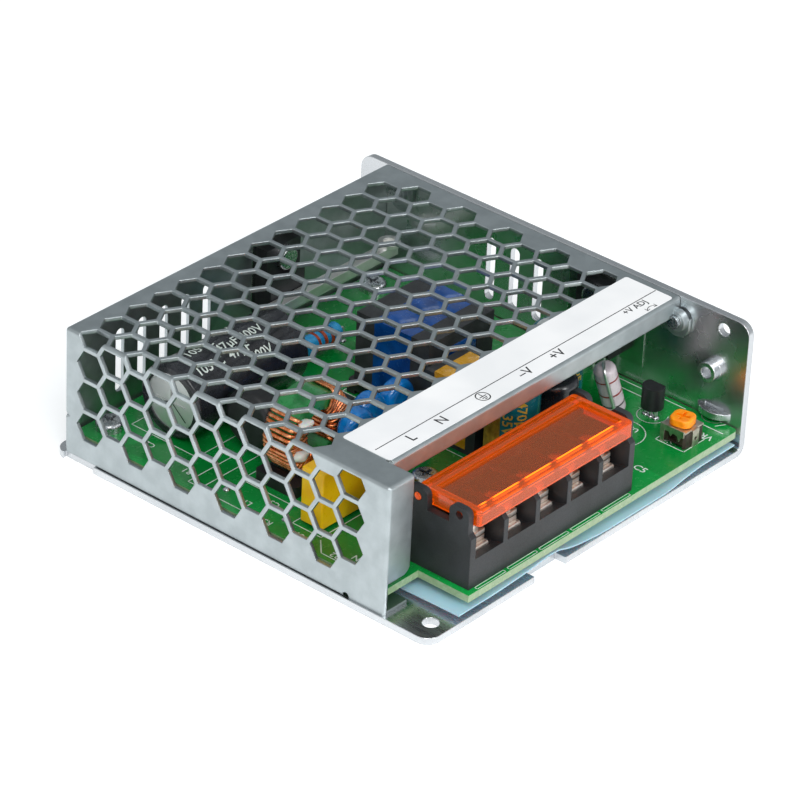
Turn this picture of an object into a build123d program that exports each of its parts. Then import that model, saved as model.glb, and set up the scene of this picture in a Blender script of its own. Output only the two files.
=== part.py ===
from build123d import *
import math
import os

# LED power supply in a folded metal case: a floor and right wall in one L of aluminium,
# a perforated steel cover over the rest, and a circuit board with a five way terminal block.
# All sizes are millimetres. While it is drawn, x runs from the left edge of the floor, y from its
# front edge and z from its underside; the last lines move the origin to the middle of the base.

# Case
case_width = 97.0
case_height = 30.0
floor_length = 98.0
wall_overhang = 4.0
wall_length = floor_length + wall_overhang
chassis_gauge = 1.5
chassis_bend = 0.8
wall_corner = 3.0
floor_corner = 3.0
ear_bottom = 3.4

# Cover
cover_gauge = 0.8
cover_left = 0.45
cover_front = 11.6
cover_rear = 95.4
cover_bend = 0.7
cover_seam = 0.1
cover_floor_gap = 0.2
lip_front = 17.4
lip_headroom = 2.6
flange_width = 7.0
flange_rise = 8.4
flange_corner = 2.0
foot_length = 9.2
foot_width = 6.6
relief_width = 0.8
relief_depth = 1.6
tab_width = 6.2
tab_drop = 8.7
tab_waist = 4.0
tab_front = 14.2
tab_rear = 87.0

# Hexagonal holes of the cover
hex_pitch = 7.1
hex_flats = 6.25
hex_first_y = 88.6
hex_right_margin = 9.2
hex_top_rows = 10
hex_side_rows = 12
hex_columns = 17
hex_bend_shift = 0.35
hex_lowest = 9.0

# Ventilation slots
slot_pitch = 6.3
slot_width = 2.4
slot_length = 14.4
slot_bottom = 9.4
rear_slot_x = 15.1
rear_slot_count = 5
wall_slot_y = 53.5
wall_slot_count = 3

# Rating label
label_thickness = 0.1
label_left = 7.9
label_front = 18.1
label_right_margin = 1.6
label_depth = 11.9

# Fixing holes of the case
floor_hole_radius = 1.7
floor_hole_x = 5.2
floor_hole_y = 4.0
wall_hole_radius = 1.4
wall_hole_y = 6.2
wall_hole_drop = 3.2
bush_radius = 2.2
bush_bore = 1.25
bush_length = 2.0
bush_y = 8.3
bush_z = 16.9
cover_screw_drop = 4.8
cover_screw_offset = 2.6

# Circuit board and what it stands on
board_gauge = 1.6
board_underside = 4.5
board_left = 2.0
board_front = 0.5
board_rear_gap = 0.6
board_wall_gap = 0.3
board_notch_x = 11.7
board_notch_y = 13.0
standoff_radius = 2.8
right_standoff_inset = 9.5
board_screw_radius = 1.45
board_screw_head = 2.9
board_screw_rise = 2.0
board_screw_cross = 3.4
screw_clearance = 0.05
film_gauge = 0.3
film_left = 9.2
film_front = 0.6
film_lift = 0.2
film_hole_margin = 0.4
board_corner = 1.0
board_hole_margin = 0.15
board_screw_round = 0.8
board_screw_gap = 0.4
label_corner = 0.6

# Terminal block
block_left = 13.0
block_front = 1.7
block_depth = 15.6
pole_count = 5
pole_pitch = 9.5
divider = 1.3
end_wall = 1.6
wall_rise = 13.0
ledge_rise = 6.3
ledge_lip = 0.9
lip_run = 2.7
bay_depth = 11.4
bay_chamfer = 1.8
ear_thickness = 1.4
ear_width = 4.8
ear_rise = 17.2
ear_corner = 1.5
front_ear_y = 4.9
hinge_y = 15.1
hinge_rise = 15.1
catch_rise = 15.4
pin_radius = 0.8
pin_clearance = 0.08

# Terminal hardware
tongue_gauge = 0.8
tongue_width = 5.6
tongue_front = 4.2
contact_screw_y = 8.4
clamp_width = 6.2
clamp_gap = 0.1
clamp_plate = 0.8
clamp_opening = 0.5
clamp_travel = 2.0
terminal_shank = 1.6
terminal_head = 2.9
terminal_head_rise = 2.0
terminal_head_round = 0.9
terminal_reach = 3.4
terminal_well = 4.2
terminal_well_margin = 0.4
clamp_corner = 0.5
contact_edge = 0.5
thread_clearance = 0.08
cross_length = 3.8
cross_slot = 0.7
cross_depth = 1.0

# Terminal lid
lid_gap = 0.25
lid_front = 1.2
lid_back = 16.2
lid_top_rise = 16.9
lid_skirt = 3.4
lid_wall = 0.9
lid_panel = 0.8
lid_recess = 0.8
lid_front_rim = 1.9
lid_rear_rim = 3.0
lid_ridge = 1.1
lid_gutter = 1.1
lid_end_rim = 1.4
lid_corner = 0.9
lid_edge = 0.4
lid_heel = 3.4
lid_heel_rise = 1.0

# Trimmer
trimmer_inset = 11.1
trimmer_y = 6.5
trimmer_side = 6.2
trimmer_rise = 3.4
trimmer_relief = 0.7
trimmer_foot = 0.6
saddle_gauge = 0.4
rotor_side = 4.7
rotor_rise = 1.6
rotor_gap = 0.15
rotor_stem = 1.0
rotor_setting = 12.0
rotor_corner = 1.5
rotor_edge = 0.4
rotor_cross = 3.0
rotor_slot = 0.6
rotor_slot_depth = 0.7
trimmer_corner = 0.5
socket_rise = 1.0
socket_margin = 0.4
saddle_leg = 2.0
saddle_eye = 0.4

# Shared heights
floor_top = chassis_gauge
wall_inner = case_width - chassis_gauge
cover_top = case_height - label_thickness
cover_right = wall_inner - cover_seam
cover_ceiling = cover_top - cover_gauge
board_top = board_underside + board_gauge
board_rear = cover_rear - cover_gauge - board_rear_gap
board_right = wall_inner - board_wall_gap
lip_drop = cover_top - board_top - ear_rise - lip_headroom
tab_bottom = cover_top - tab_drop
cover_screw_z = case_height - cover_screw_drop
wall_hole_z = case_height - wall_hole_drop
hex_first_x = cover_right - hex_right_margin
hex_unfold = cover_top - hex_bend_shift
label_width = cover_right - label_right_margin - label_left
standoff_places = [(36.5, 32.5), (7.6, 90.0), (wall_inner - right_standoff_inset, 89.5)]
trimmer_x = wall_inner - trimmer_inset
lead_radius = 0.35
lead_pitch = 2.54

MINIMUM = (Align.MIN, Align.MIN, Align.MIN)
STANDING = (Align.CENTER, Align.CENTER, Align.MIN)


def slab(x, y, z, width, depth, height):
    """A plain rectangular block from its lowest corner."""
    return Pos(x, y, z) * Box(width, depth, height, align=MINIMUM)


def upright(x, y, z, radius, height):
    """A cylinder that stands on a point."""
    return Pos(x, y, z) * Cylinder(radius, height, align=STANDING)


def along_x(x, y, z, radius, length):
    """A cylinder that runs along x from a point."""
    return Pos(x, y, z) * Rot(0, 90, 0) * Cylinder(radius, length, align=STANDING)


def along_y(x, y, z, radius, length):
    """A cylinder that runs along y from a point."""
    return Pos(x, y, z) * Rot(-90, 0, 0) * Cylinder(radius, length, align=STANDING)


def joined(pieces):
    """Several overlapping blocks as one solid."""
    whole = pieces[0]
    for piece in pieces[1:]:
        whole = whole + piece
    return whole


def edges_at(shape, axis, **place):
    """The edges along an axis whose middle lies at the given coordinates."""
    found = []
    for edge in shape.edges().filter_by(axis):
        middle = edge.center()
        if all(abs(getattr(middle, name.upper()) - value) < 0.02 for name, value in place.items()):
            found.append(edge)
    return found


def upright_slot(length, width, depth):
    """A slot with round ends, standing along z and cutting along x."""
    profile = SlotOverall(length, width, rotation=90)
    return Rot(0, 90, 0) * Rot(0, 0, 90) * extrude(profile, depth, both=True)


# Case floor and right wall: one folded sheet

def base_chassis():
    floor = slab(0, 0, 0, case_width, floor_length, chassis_gauge)
    wall = slab(wall_inner, 0, 0, chassis_gauge, floor_length, case_height)
    body = floor + wall
    body = fillet(edges_at(body, Axis.Y, x=case_width, z=0), chassis_bend + chassis_gauge)
    body = fillet(edges_at(body, Axis.Y, x=wall_inner, z=chassis_gauge), chassis_bend)
    ear = slab(wall_inner, floor_length - 1, ear_bottom, chassis_gauge,
               wall_length - floor_length + 1, case_height - ear_bottom)
    body = body + ear
    for y in (0, wall_length):
        body = fillet(edges_at(body, Axis.X, y=y, z=case_height), wall_corner)
    for y in (0, floor_length):
        body = fillet(edges_at(body, Axis.Z, x=0, y=y), floor_corner)
    bush = along_x(wall_inner - bush_length, bush_y, bush_z, bush_radius, bush_length + 0.5)
    body = body + bush + hold_down()
    return body - chassis_holes()


# Half round tongue lanced out of the wall above the board edge
tongue_reach = 2.3
tongue_radius = 4.9
tongue_y = 6.95
tongue_rise = 1.0
tongue_lance = 1.4
lance_slit = 0.5


def hold_down():
    disc = upright(wall_inner + tongue_radius - tongue_reach, tongue_y, board_top + tongue_rise,
                   tongue_radius, tongue_lance)
    inside = slab(wall_inner - tongue_reach - 1, tongue_y - tongue_radius, board_top,
                  tongue_reach + 1.5, 2 * tongue_radius, 4)
    return disc & inside


notch_left = 31.0
notch_width = 9.5
notch_depth = 2.5
foot_inset = 1.0
foot_inset_front = 87.0


def chassis_holes():
    through = 3 * chassis_gauge
    cuts = [upright(floor_hole_x, floor_hole_y, -chassis_gauge, floor_hole_radius, through),
            slab(notch_left, -1, -1, notch_width, notch_depth + 1, through),
            slab(-1, foot_inset_front, -1, foot_inset + 1, cover_rear - foot_inset_front, through),
            along_x(wall_inner - 1, wall_hole_y, wall_hole_z, wall_hole_radius, through),
            along_x(wall_inner - bush_length - 1, bush_y, bush_z, bush_bore, through + bush_length),
            slab(wall_inner - 0.2, tongue_y - tongue_reach, board_top + tongue_rise + tongue_lance,
                 chassis_gauge + 1, 2 * tongue_reach, lance_slit),
            along_x(wall_inner - 1, rectifier_y, device_hole_z, device_screw_radius, through)]
    for index in range(wall_slot_count):
        place = Pos(wall_inner, wall_slot_y + index * slot_pitch, slot_bottom + slot_length / 2)
        cuts.append(place * upright_slot(slot_length, slot_width, through))
    for y in cover_screw_places():
        cuts.append(cover_screw_shape(y, screw_clearance))
    return cuts


def cover_screw_places():
    return [tab_front + cover_screw_offset, tab_rear + tab_width - cover_screw_offset]


# Perforated cover: top, left side, rear and front lips folded from one sheet

def cover():
    length = cover_rear - cover_front
    width = cover_right - cover_left
    bottom = floor_top + cover_floor_gap
    height = cover_top - bottom
    top = slab(cover_left, lip_front, cover_ceiling, width, cover_rear - lip_front, cover_gauge)
    corner = slab(cover_left, cover_front, cover_ceiling, flange_width, lip_front - cover_front + 1,
                  cover_gauge)
    left = slab(cover_left, cover_front, bottom, cover_gauge, length, height)
    rear = slab(cover_left, cover_rear - cover_gauge, bottom, width, cover_gauge, height)
    flange = slab(cover_left, cover_front, flange_rise, flange_width, cover_gauge, cover_top - flange_rise)
    lip_left = cover_left + flange_width + relief_width
    lip = slab(lip_left, lip_front, cover_top - lip_drop, cover_right - lip_left, cover_gauge, lip_drop)
    foot = slab(cover_left, cover_front, floor_top, foot_width, foot_length, cover_gauge)
    body = joined([top, corner, left, rear, flange, lip, foot])
    body = chamfer(edges_at(body, Axis.Y, x=cover_right, z=bottom), chassis_bend)
    bends = edges_at(body, Axis.Y, x=cover_left, z=cover_top)
    bends += edges_at(body, Axis.Z, x=cover_left, y=cover_rear)
    bends += edges_at(body, Axis.X, y=cover_rear, z=cover_top)
    bends += edges_at(body, Axis.X, y=cover_front, z=cover_top)
    bends += edges_at(body, Axis.Z, x=cover_left, y=cover_front)
    body = fillet(bends, cover_bend)
    body = fillet(edges_at(body, Axis.X, y=lip_front, z=cover_top), cover_bend)
    flange_right = cover_left + flange_width
    body = fillet(edges_at(body, Axis.Y, x=flange_right, z=flange_rise), flange_corner)
    body = body + side_tab(tab_front, lip_front) + side_tab(tab_rear, tab_rear)
    relief = slab(flange_right, lip_front - 1, cover_ceiling - 1, relief_width,
                  cover_gauge + relief_depth, cover_gauge + 2)
    body = body - relief
    return body - hex_holes() - rear_slots() - seam_notches() - tab_bores()


def side_tab(front, root):
    """A tab that hangs from the top sheet inside the wall, with an extruded boss for its screw."""
    x = cover_right - cover_gauge
    waist = cover_top - tab_waist
    plate = slab(x, front, tab_bottom, cover_gauge, tab_width, waist - tab_bottom)
    plate = fillet(plate.edges().filter_by(Axis.X).group_by(Axis.Z)[0], tab_width / 2 - 0.2)
    neck = slab(x, root, waist - 0.5, cover_gauge, front + tab_width - root,
                cover_top - waist + 0.5 - cover_gauge / 2)
    y = cover_screw_places()[0] if front == tab_front else cover_screw_places()[1]
    boss = along_x(x - tab_boss_length, y, cover_screw_z, tab_boss_radius,
                   tab_boss_length + cover_gauge / 2)
    return plate + neck + boss


tab_boss_radius = 2.3
tab_boss_length = 1.3


def tab_bores():
    start = cover_right - cover_gauge - tab_boss_length - 1
    bores = [along_x(start, y, cover_screw_z, cover_screw_radius + screw_clearance, 5)
             for y in cover_screw_places()]
    switch_bore = along_y(switch_x, cover_rear - 2 * cover_gauge, device_hole_z,
                          device_screw_radius + screw_clearance, 3 * cover_gauge)
    return bores + [switch_bore]


def hex_prism(side_to_side, depth):
    """A hexagon with flats across x and points along y, cut right through a sheet."""
    profile = RegularPolygon(side_to_side / 2, 6, major_radius=False, rotation=30)
    return extrude(profile, depth, both=True)


def hex_holes():
    """One pattern over the top and, unfolded past the bend, down the left side."""
    cuts = []
    row_pitch = hex_pitch * math.sqrt(3) / 2
    for row in range(hex_side_rows):
        y = hex_first_y - row * row_pitch
        start = hex_first_x + (hex_pitch / 2 if row % 2 else 0)
        for column in range(hex_columns):
            spread = start - column * hex_pitch
            over_bend = abs(spread - cover_left) < (hex_flats - cover_gauge) / 2
            on_top = spread > cover_left
            if row >= hex_top_rows and on_top:
                continue
            if hex_unfold + spread < hex_lowest:
                continue
            if on_top:
                cuts.append(top_hole(spread, y))
            if over_bend or not on_top:
                cuts.append(side_hole(y, hex_unfold + spread, over_bend))
    return cuts


def top_hole(x, y):
    """A hole in the top sheet, kept off the thickness of the left side."""
    hole = Pos(x, y, cover_top) * hex_prism(hex_flats, 2 * cover_gauge)
    inside_bend = cover_left + cover_gauge
    if x - hex_flats / 2 > inside_bend:
        return hole
    return hole & slab(inside_bend, y - hex_pitch, 0, 2 * hex_pitch, 2 * hex_pitch, 2 * case_height)


def side_hole(y, z, over_bend):
    """A hole in the left side; it leaves the thickness of the top unless it runs over the bend."""
    hole = Pos(cover_left, y, z) * Rot(0, 90, 0) * hex_prism(hex_flats, cover_gauge)
    if over_bend or z + hex_flats / 2 < cover_ceiling:
        return hole
    return hole & slab(-hex_pitch, y - hex_pitch, 0, 2 * hex_pitch, 2 * hex_pitch, cover_ceiling)


def rear_slots():
    cuts = []
    for index in range(rear_slot_count):
        x = rear_slot_x + index * slot_pitch
        place = Pos(x, cover_rear, slot_bottom + slot_length / 2)
        cuts.append(place * Rot(0, 0, 90) * upright_slot(slot_length, slot_width, 2 * cover_gauge))
    return cuts


seam_notch = 1.3
seam_notch_z = 10.2


def seam_notches():
    """A small V where the side meets the rear, and a round relief at the end of the foot."""
    vee = Pos(cover_left, cover_rear, seam_notch_z) * Rot(0, 0, 45) * Rot(0, 45, 0) * Box(
        seam_notch, 4, seam_notch)
    relief_y = cover_front + foot_length + relief_width / 2
    relief = along_x(cover_left - 1, relief_y, floor_top + cover_floor_gap, relief_width, 3)
    return [vee, relief]


cover_screw_radius = 1.4
cover_screw_head = 2.7
cover_screw_reach = 4.6
cover_screw_slot = 0.5
cover_screw_recess = 0.8


def cover_screw_shape(y, extra=0.0):
    """Countersunk screw, flush with the outside of the wall."""
    head_depth = chassis_gauge * 0.8
    tip = along_x(case_width - cover_screw_reach, y, cover_screw_z, cover_screw_radius + extra,
                  cover_screw_reach)
    cone = Pos(case_width - head_depth, y, cover_screw_z) * Rot(0, 90, 0) * Cone(
        cover_screw_radius + extra, cover_screw_head + extra, head_depth, align=STANDING)
    return tip + cone


def cover_screws():
    screws = []
    for y in cover_screw_places():
        screw = cover_screw_shape(y)
        recess = cross_recess(cover_screw_head, cover_screw_slot, cover_screw_recess)
        screws.append(screw - Pos(case_width, y, cover_screw_z) * Rot(0, 90, 0) * recess)
    return screws


def cross_recess(length, width, depth):
    """A cross slot cut downwards from its top face."""
    bar = Box(length, width, 2 * depth)
    return bar + Rot(0, 0, 90) * bar


def rating_label():
    sheet = slab(label_left, label_front, cover_top, label_width, label_depth, label_thickness)
    return fillet(sheet.edges().filter_by(Axis.Z), label_corner)


# Board, film and fixings

def insulation_film():
    width = wall_inner - chassis_bend - film_left
    sheet = slab(film_left, film_front, floor_top + film_lift, width, board_rear - film_front,
                 film_gauge)
    holes = [upright(x, y, 0, standoff_radius + film_hole_margin, board_underside)
             for x, y in standoff_places]
    return sheet - holes


def circuit_board():
    board = slab(board_left, board_front, board_underside, board_right - board_left,
                 board_rear - board_front, board_gauge)
    notch = slab(0, 0, 0, board_notch_x, board_notch_y, board_top + 1)
    board = board - notch
    board = fillet(edges_at(board, Axis.Z, x=board_right, y=board_front), board_corner)
    holes = [upright(x, y, 0, board_screw_radius + board_hole_margin, case_height)
             for x, y in standoff_places]
    return board - holes


def board_standoffs():
    bore = board_screw_radius + screw_clearance
    return [upright(x, y, floor_top, standoff_radius, board_underside - floor_top)
            - upright(x, y, 0, bore, case_height) for x, y in standoff_places]


def board_screws():
    screws = []
    for x, y in standoff_places:
        shank = upright(x, y, floor_top + board_screw_gap, board_screw_radius, board_top - floor_top)
        head = upright(x, y, board_top, board_screw_head, board_screw_rise)
        head = fillet(head.edges().group_by(Axis.Z)[-1], board_screw_round)
        recess = Pos(x, y, board_top + board_screw_rise) * cross_recess(
            board_screw_cross, cross_slot, cross_depth)
        screws.append(shank + head - recess)
    return screws


# Terminal block

block_width = 2 * end_wall + pole_count * pole_pitch - divider
block_floor = board_top + ledge_rise - ledge_lip
block_top = board_top + wall_rise
hinge_z = board_top + hinge_rise
bay_width = pole_pitch - divider


def pole_x(index):
    return block_left + end_wall + bay_width / 2 + index * pole_pitch


def ear(x, y, hole_rise, hole_radius):
    """A rounded lug on top of an end wall, drilled along x."""
    base = slab(x, y - ear_width / 2, block_top - 1, ear_thickness, ear_width,
                board_top + ear_rise - block_top + 1)
    base = fillet(base.edges().filter_by(Axis.X).group_by(Axis.Z)[-1], ear_corner)
    return base - along_x(x - 1, y, board_top + hole_rise, hole_radius, ear_thickness + 2)


def terminal_block():
    body = slab(block_left, block_front, board_top, block_width, block_depth, wall_rise)
    ramp_top = board_top + ledge_rise
    for index in range(pole_count):
        x = pole_x(index) - bay_width / 2
        bay = slab(x, block_front + lip_run, block_floor, bay_width, bay_depth - lip_run, wall_rise)
        with BuildPart() as mouth:
            with BuildSketch(Plane.YZ.offset(x)):
                with BuildLine():
                    Polyline((block_front - 1, ramp_top), (block_front, ramp_top),
                             (block_front + lip_run, block_floor), (block_front + lip_run, block_top + 1),
                             (block_front - 1, block_top + 1), close=True)
                make_face()
            extrude(amount=bay_width)
        body = body - bay - mouth.part
        body = body - upright(pole_x(index), contact_screw_y, block_floor - terminal_well,
                              terminal_shank + terminal_well_margin, terminal_well + 1)
        body = body - contact_shape(index, 0.0)
    with BuildPart() as corner:
        with BuildSketch(Plane.YZ.offset(block_left - 1)):
            with BuildLine():
                Polyline((block_front - 1, block_top - bay_chamfer - 1), (block_front - 1, block_top + 1),
                         (block_front + bay_chamfer + 1, block_top + 1), close=True)
            make_face()
        extrude(amount=block_width + 2)
    body = body - corner.part
    right = block_left + block_width - ear_thickness
    for x in (block_left, right):
        body = body + ear(x, front_ear_y, catch_rise, pin_radius + pin_clearance)
        body = body + ear(x, hinge_y, hinge_rise, pin_radius + pin_clearance)
    return body


contact_leg_width = 1.2
contact_leg_y = 14.2


def contact_shape(index, trim):
    """The plate under a terminal screw, with its leg down through the block to the board."""
    x = pole_x(index)
    rear = contact_leg_y + tongue_gauge / 2
    plate = slab(x - tongue_width / 2, tongue_front, block_floor, tongue_width, rear - tongue_front,
                 tongue_gauge)
    leg = slab(x - contact_leg_width / 2, contact_leg_y - tongue_gauge / 2, board_top, contact_leg_width,
               tongue_gauge, block_floor - board_top + tongue_gauge)
    shape = plate + leg
    if trim:
        front = edges_at(shape, Axis.X, y=tongue_front, z=block_floor + tongue_gauge)
        shape = fillet(front, trim)
        shape = shape - upright(x, contact_screw_y, 0, terminal_shank + thread_clearance, case_height)
    return shape


def terminal_contacts():
    return [contact_shape(index, contact_edge) for index in range(pole_count)]


clamp_low = block_floor + tongue_gauge + clamp_gap
clamp_high = clamp_low + 2 * clamp_plate + clamp_opening


def terminal_clamp(index):
    """A square clip folded from strip: two plates and a rear bend, carried by its screw."""
    x = pole_x(index)
    half = clamp_width / 2
    height = clamp_high - clamp_low
    clip = slab(x - half, contact_screw_y - half, clamp_low, clamp_width, clamp_width, height)
    clip = fillet(clip.edges().filter_by(Axis.Z).group_by(Axis.Y)[0], clamp_corner)
    slit = slab(x - half - 1, contact_screw_y - half - 1, clamp_low + clamp_plate,
                clamp_width + 2, clamp_width, clamp_opening)
    clip = clip - slit
    return clip - upright(x, contact_screw_y, 0, terminal_shank + thread_clearance, case_height)


def terminal_screw(index):
    x = pole_x(index)
    foot = block_floor - terminal_reach
    shank = upright(x, contact_screw_y, foot, terminal_shank, clamp_high - foot)
    head = upright(x, contact_screw_y, clamp_high, terminal_head, terminal_head_rise)
    head = fillet(head.edges().group_by(Axis.Z)[-1], terminal_head_round)
    head_top = Pos(x, contact_screw_y, clamp_high + terminal_head_rise)
    recess = head_top * cross_recess(cross_length, cross_slot, cross_depth)
    return shank + head - recess


def terminal_lid():
    """A moulded tray with a raised rim, a front skirt and a pin at each end."""
    left = block_left + ear_thickness + lid_gap
    width = block_width - 2 * (ear_thickness + lid_gap)
    top = board_top + lid_top_rise
    depth = lid_back - lid_front
    body = slab(left, lid_front, top - lid_skirt, width, depth, lid_skirt)
    body = fillet(body.edges().filter_by(Axis.Z), lid_corner)
    body = fillet(body.edges().group_by(Axis.Z)[-1], lid_edge)
    recess = slab(left + lid_end_rim, lid_front + lid_front_rim, top - lid_recess,
                  width - 2 * lid_end_rim, depth - lid_front_rim - lid_rear_rim, lid_recess + 1)
    gutter = slab(left + lid_end_rim, lid_back - lid_rear_rim + lid_ridge, top - lid_recess,
                  width - 2 * lid_end_rim, lid_gutter, lid_recess + 1)
    hollow = slab(left + lid_wall, lid_front + lid_wall, top - lid_skirt - 1,
                  width - 2 * lid_wall, depth - 2 * lid_wall, lid_skirt + 1 - lid_recess - lid_panel)
    heel = slab(left - 1, lid_back - lid_heel, top - lid_skirt - 1, width + 2, lid_heel + 1,
                lid_heel_rise + 1)
    body = body - recess - gutter - hollow - heel
    for x in (left - ear_thickness - lid_gap, left + width - lid_wall):
        length = ear_thickness + lid_gap + lid_wall
        body = body + along_x(x, hinge_y, hinge_z, pin_radius, length)
    return body


# Trimmer

def trimmer_base():
    """Square moulding on two feet, with a socket for the rotor's stem."""
    half = trimmer_side / 2
    base = slab(trimmer_x - half, trimmer_y - half, board_top, trimmer_side, trimmer_side, trimmer_rise)
    base = chamfer(base.edges().filter_by(Axis.Z), trimmer_corner)
    socket = upright(trimmer_x, trimmer_y, board_top + socket_rise, rotor_stem + socket_margin,
                     trimmer_rise)
    notch = slab(trimmer_x - half - 1, trimmer_y - 1, board_top + socket_rise, 2, 2, trimmer_rise)
    relief = slab(trimmer_x - half - 1, trimmer_y - half + trimmer_foot, board_top - 1, trimmer_side + 2,
                  trimmer_side - 2 * trimmer_foot, trimmer_relief + 1)
    return base - socket - notch - relief


def trimmer_saddle():
    """Sprung metal plate over the base, with a leg bent down in front."""
    half = trimmer_side / 2 - 0.1
    z = board_top + trimmer_rise
    plate = slab(trimmer_x - half, trimmer_y - half, z, 2 * half, 2 * half, saddle_gauge)
    leg_front = trimmer_y - trimmer_side / 2 - saddle_gauge
    left = trimmer_x - saddle_leg / 2
    leg = slab(left, leg_front, board_top, saddle_leg, saddle_gauge, trimmer_rise + saddle_gauge)
    bridge = slab(left, leg_front, z, saddle_leg, 1.0, saddle_gauge)
    eye = along_y(trimmer_x, leg_front - 1, board_top + trimmer_rise / 2, saddle_eye, 2)
    hole = upright(trimmer_x, trimmer_y, z - 1, rotor_stem + 0.1, 3)
    return joined([plate, leg, bridge]) - eye - hole


def trimmer_rotor():
    z = board_top + trimmer_rise + saddle_gauge + rotor_gap
    cap = Pos(trimmer_x, trimmer_y, z) * extrude(RectangleRounded(rotor_side, rotor_side, rotor_corner),
                                                  rotor_rise)
    cap = fillet(cap.edges().group_by(Axis.Z)[-1], rotor_edge)
    stem_foot = board_top + socket_rise + 2 * rotor_gap
    stem = upright(trimmer_x, trimmer_y, stem_foot, rotor_stem, z - stem_foot + 0.2)
    slot = Pos(trimmer_x, trimmer_y, z + rotor_rise) * cross_recess(
        rotor_cross, rotor_slot, rotor_slot_depth)
    centre = Pos(trimmer_x, trimmer_y, 0)
    return centre * Rot(0, 0, rotor_setting) * centre.inverse() * (cap + stem - slot)


# Small parts on the board near the trimmer

reference_x = wall_inner - 8.2
reference_y = 16.3
reference_rise = 2.2
reference_height = 4.9
reference_radius = 2.35
reference_flat = 1.4


def voltage_reference():
    """Three legged moulded part, round at the back and flat on the side facing the wall."""
    z = board_top + reference_rise
    body = upright(reference_x, reference_y, z, reference_radius, reference_height)
    flat = slab(reference_x + reference_flat, reference_y - 4, z - 1, 4, 8, reference_height + 2)
    return body - flat


load_x = 82.6
load_y = 22.0
load_radius = 2.35
load_length = 12.0
load_rise = 1.2
load_lean = -19.0
load_tilt = -3.8
load_top_round = 1.2
load_foot_round = 0.8
return_forward = 2.1
return_left = 2.5
return_crown = 1.4
return_fall = 0.8
return_foot = 2.0
lead_bend = 0.7


def load_resistor_place():
    return Pos(load_x, load_y, board_top + load_rise) * Rot(load_tilt, load_lean, 0)


def load_resistor():
    body = Cylinder(load_radius, load_length, align=STANDING)
    body = fillet(body.edges().group_by(Axis.Z)[-1], load_top_round)
    body = fillet(body.edges().group_by(Axis.Z)[0], load_foot_round)
    return load_resistor_place() * body


teal_radius = 5.4
teal_headroom = 3.0
teal_height = cover_ceiling - board_top - teal_headroom
teal_groove_rise = 2.0
teal_groove = 0.8
teal_groove_depth = 0.3
teal_places = [(53.4, 25.2), (73.6, 30.6)]


def output_capacitors():
    cans = []
    for x, y in teal_places:
        can = upright(x, y, board_top, teal_radius, teal_height)
        can = fillet(can.edges().group_by(Axis.Z)[-1], 0.6)
        waist = upright(x, y, board_top + teal_groove_rise, teal_radius + 1, teal_groove)
        waist = waist - upright(x, y, 0, teal_radius - teal_groove_depth, case_height)
        cans.append(can - waist)
    return cans


output_choke_x = 65.4
output_choke_y = 24.3
output_choke_radius = 4.6
output_choke_height = 15.5


def output_choke():
    body = upright(output_choke_x, output_choke_y, board_top, output_choke_radius, output_choke_height)
    return fillet(body.edges().group_by(Axis.Z)[-1], 1.6)


inductor_left = 49.6
inductor_front = 31.2
inductor_width = 11.6
inductor_depth = 13.4
inductor_height = 15.4
inductor_tape_inset = 2.4
tape_gauge = 0.3


def output_inductor_core():
    """Ferrite block drawn in to take its band of tape."""
    body = slab(inductor_left, inductor_front, board_top, inductor_width, inductor_depth, inductor_height)
    return chamfer(body.edges().group_by(Axis.Z)[-1], 0.5) - inductor_band(3.0)


def inductor_band(reach):
    outer = slab(inductor_left - 1, inductor_front + inductor_tape_inset, board_top + 1, inductor_width + 2,
                 inductor_depth - 2 * inductor_tape_inset, inductor_height + reach)
    inner = slab(inductor_left + tape_gauge, inductor_front, board_top, inductor_width - 2 * tape_gauge,
                 inductor_depth, inductor_height - tape_gauge)
    return outer - inner


def output_inductor_tape():
    inside = slab(inductor_left, inductor_front, board_top, inductor_width, inductor_depth, inductor_height)
    return inductor_band(0.0) & inside


# Mains side

bulk_left = 13.5
bulk_y = 79.0
bulk_radius = 8.0
bulk_length = 31.5
sleeve_gauge = 0.3
sleeve_fold = 1.8


def bulk_capacitor_can():
    z = board_top + bulk_radius + 0.2
    can = along_x(bulk_left, bulk_y, z, bulk_radius - sleeve_gauge, bulk_length)
    vent = Pos(bulk_left, bulk_y, z) * Rot(0, 90, 0) * cross_recess(8.0, 0.4, 0.25)
    return can - vent


def bulk_capacitor_sleeve():
    """Shrunk plastic tube that folds a short way over both ends."""
    z = board_top + bulk_radius + 0.2
    tube = along_x(bulk_left - sleeve_gauge, bulk_y, z, bulk_radius, bulk_length + 2 * sleeve_gauge)
    tube = fillet(tube.edges().filter_by(GeomType.CIRCLE), 0.7)
    bore = along_x(bulk_left, bulk_y, z, bulk_radius - sleeve_gauge, bulk_length)
    mouth = along_x(bulk_left - 1, bulk_y, z, bulk_radius - sleeve_fold, bulk_length + 2)
    return tube - bore - mouth


thermistor_x = 18.6
thermistor_y = 63.6
thermistor_radius = 6.4
thermistor_width = 5.0
thermistor_rise = 1.6


def inrush_thermistor():
    z = board_top + thermistor_rise + thermistor_radius
    disc = along_x(thermistor_x, thermistor_y, z, thermistor_radius, thermistor_width)
    return fillet(disc.edges().filter_by(GeomType.CIRCLE), 1.6)


fuse_left = 16.4
fuse_front = 20.0
fuse_width = 8.4
fuse_depth = 4.2
fuse_height = 7.6


def input_fuse():
    body = slab(fuse_left, fuse_front, board_top + 0.4, fuse_width, fuse_depth, fuse_height)
    body = fillet(body.edges().filter_by(Axis.Z), 0.6)
    return fillet(body.edges().group_by(Axis.Z)[-1], 0.5)


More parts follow.
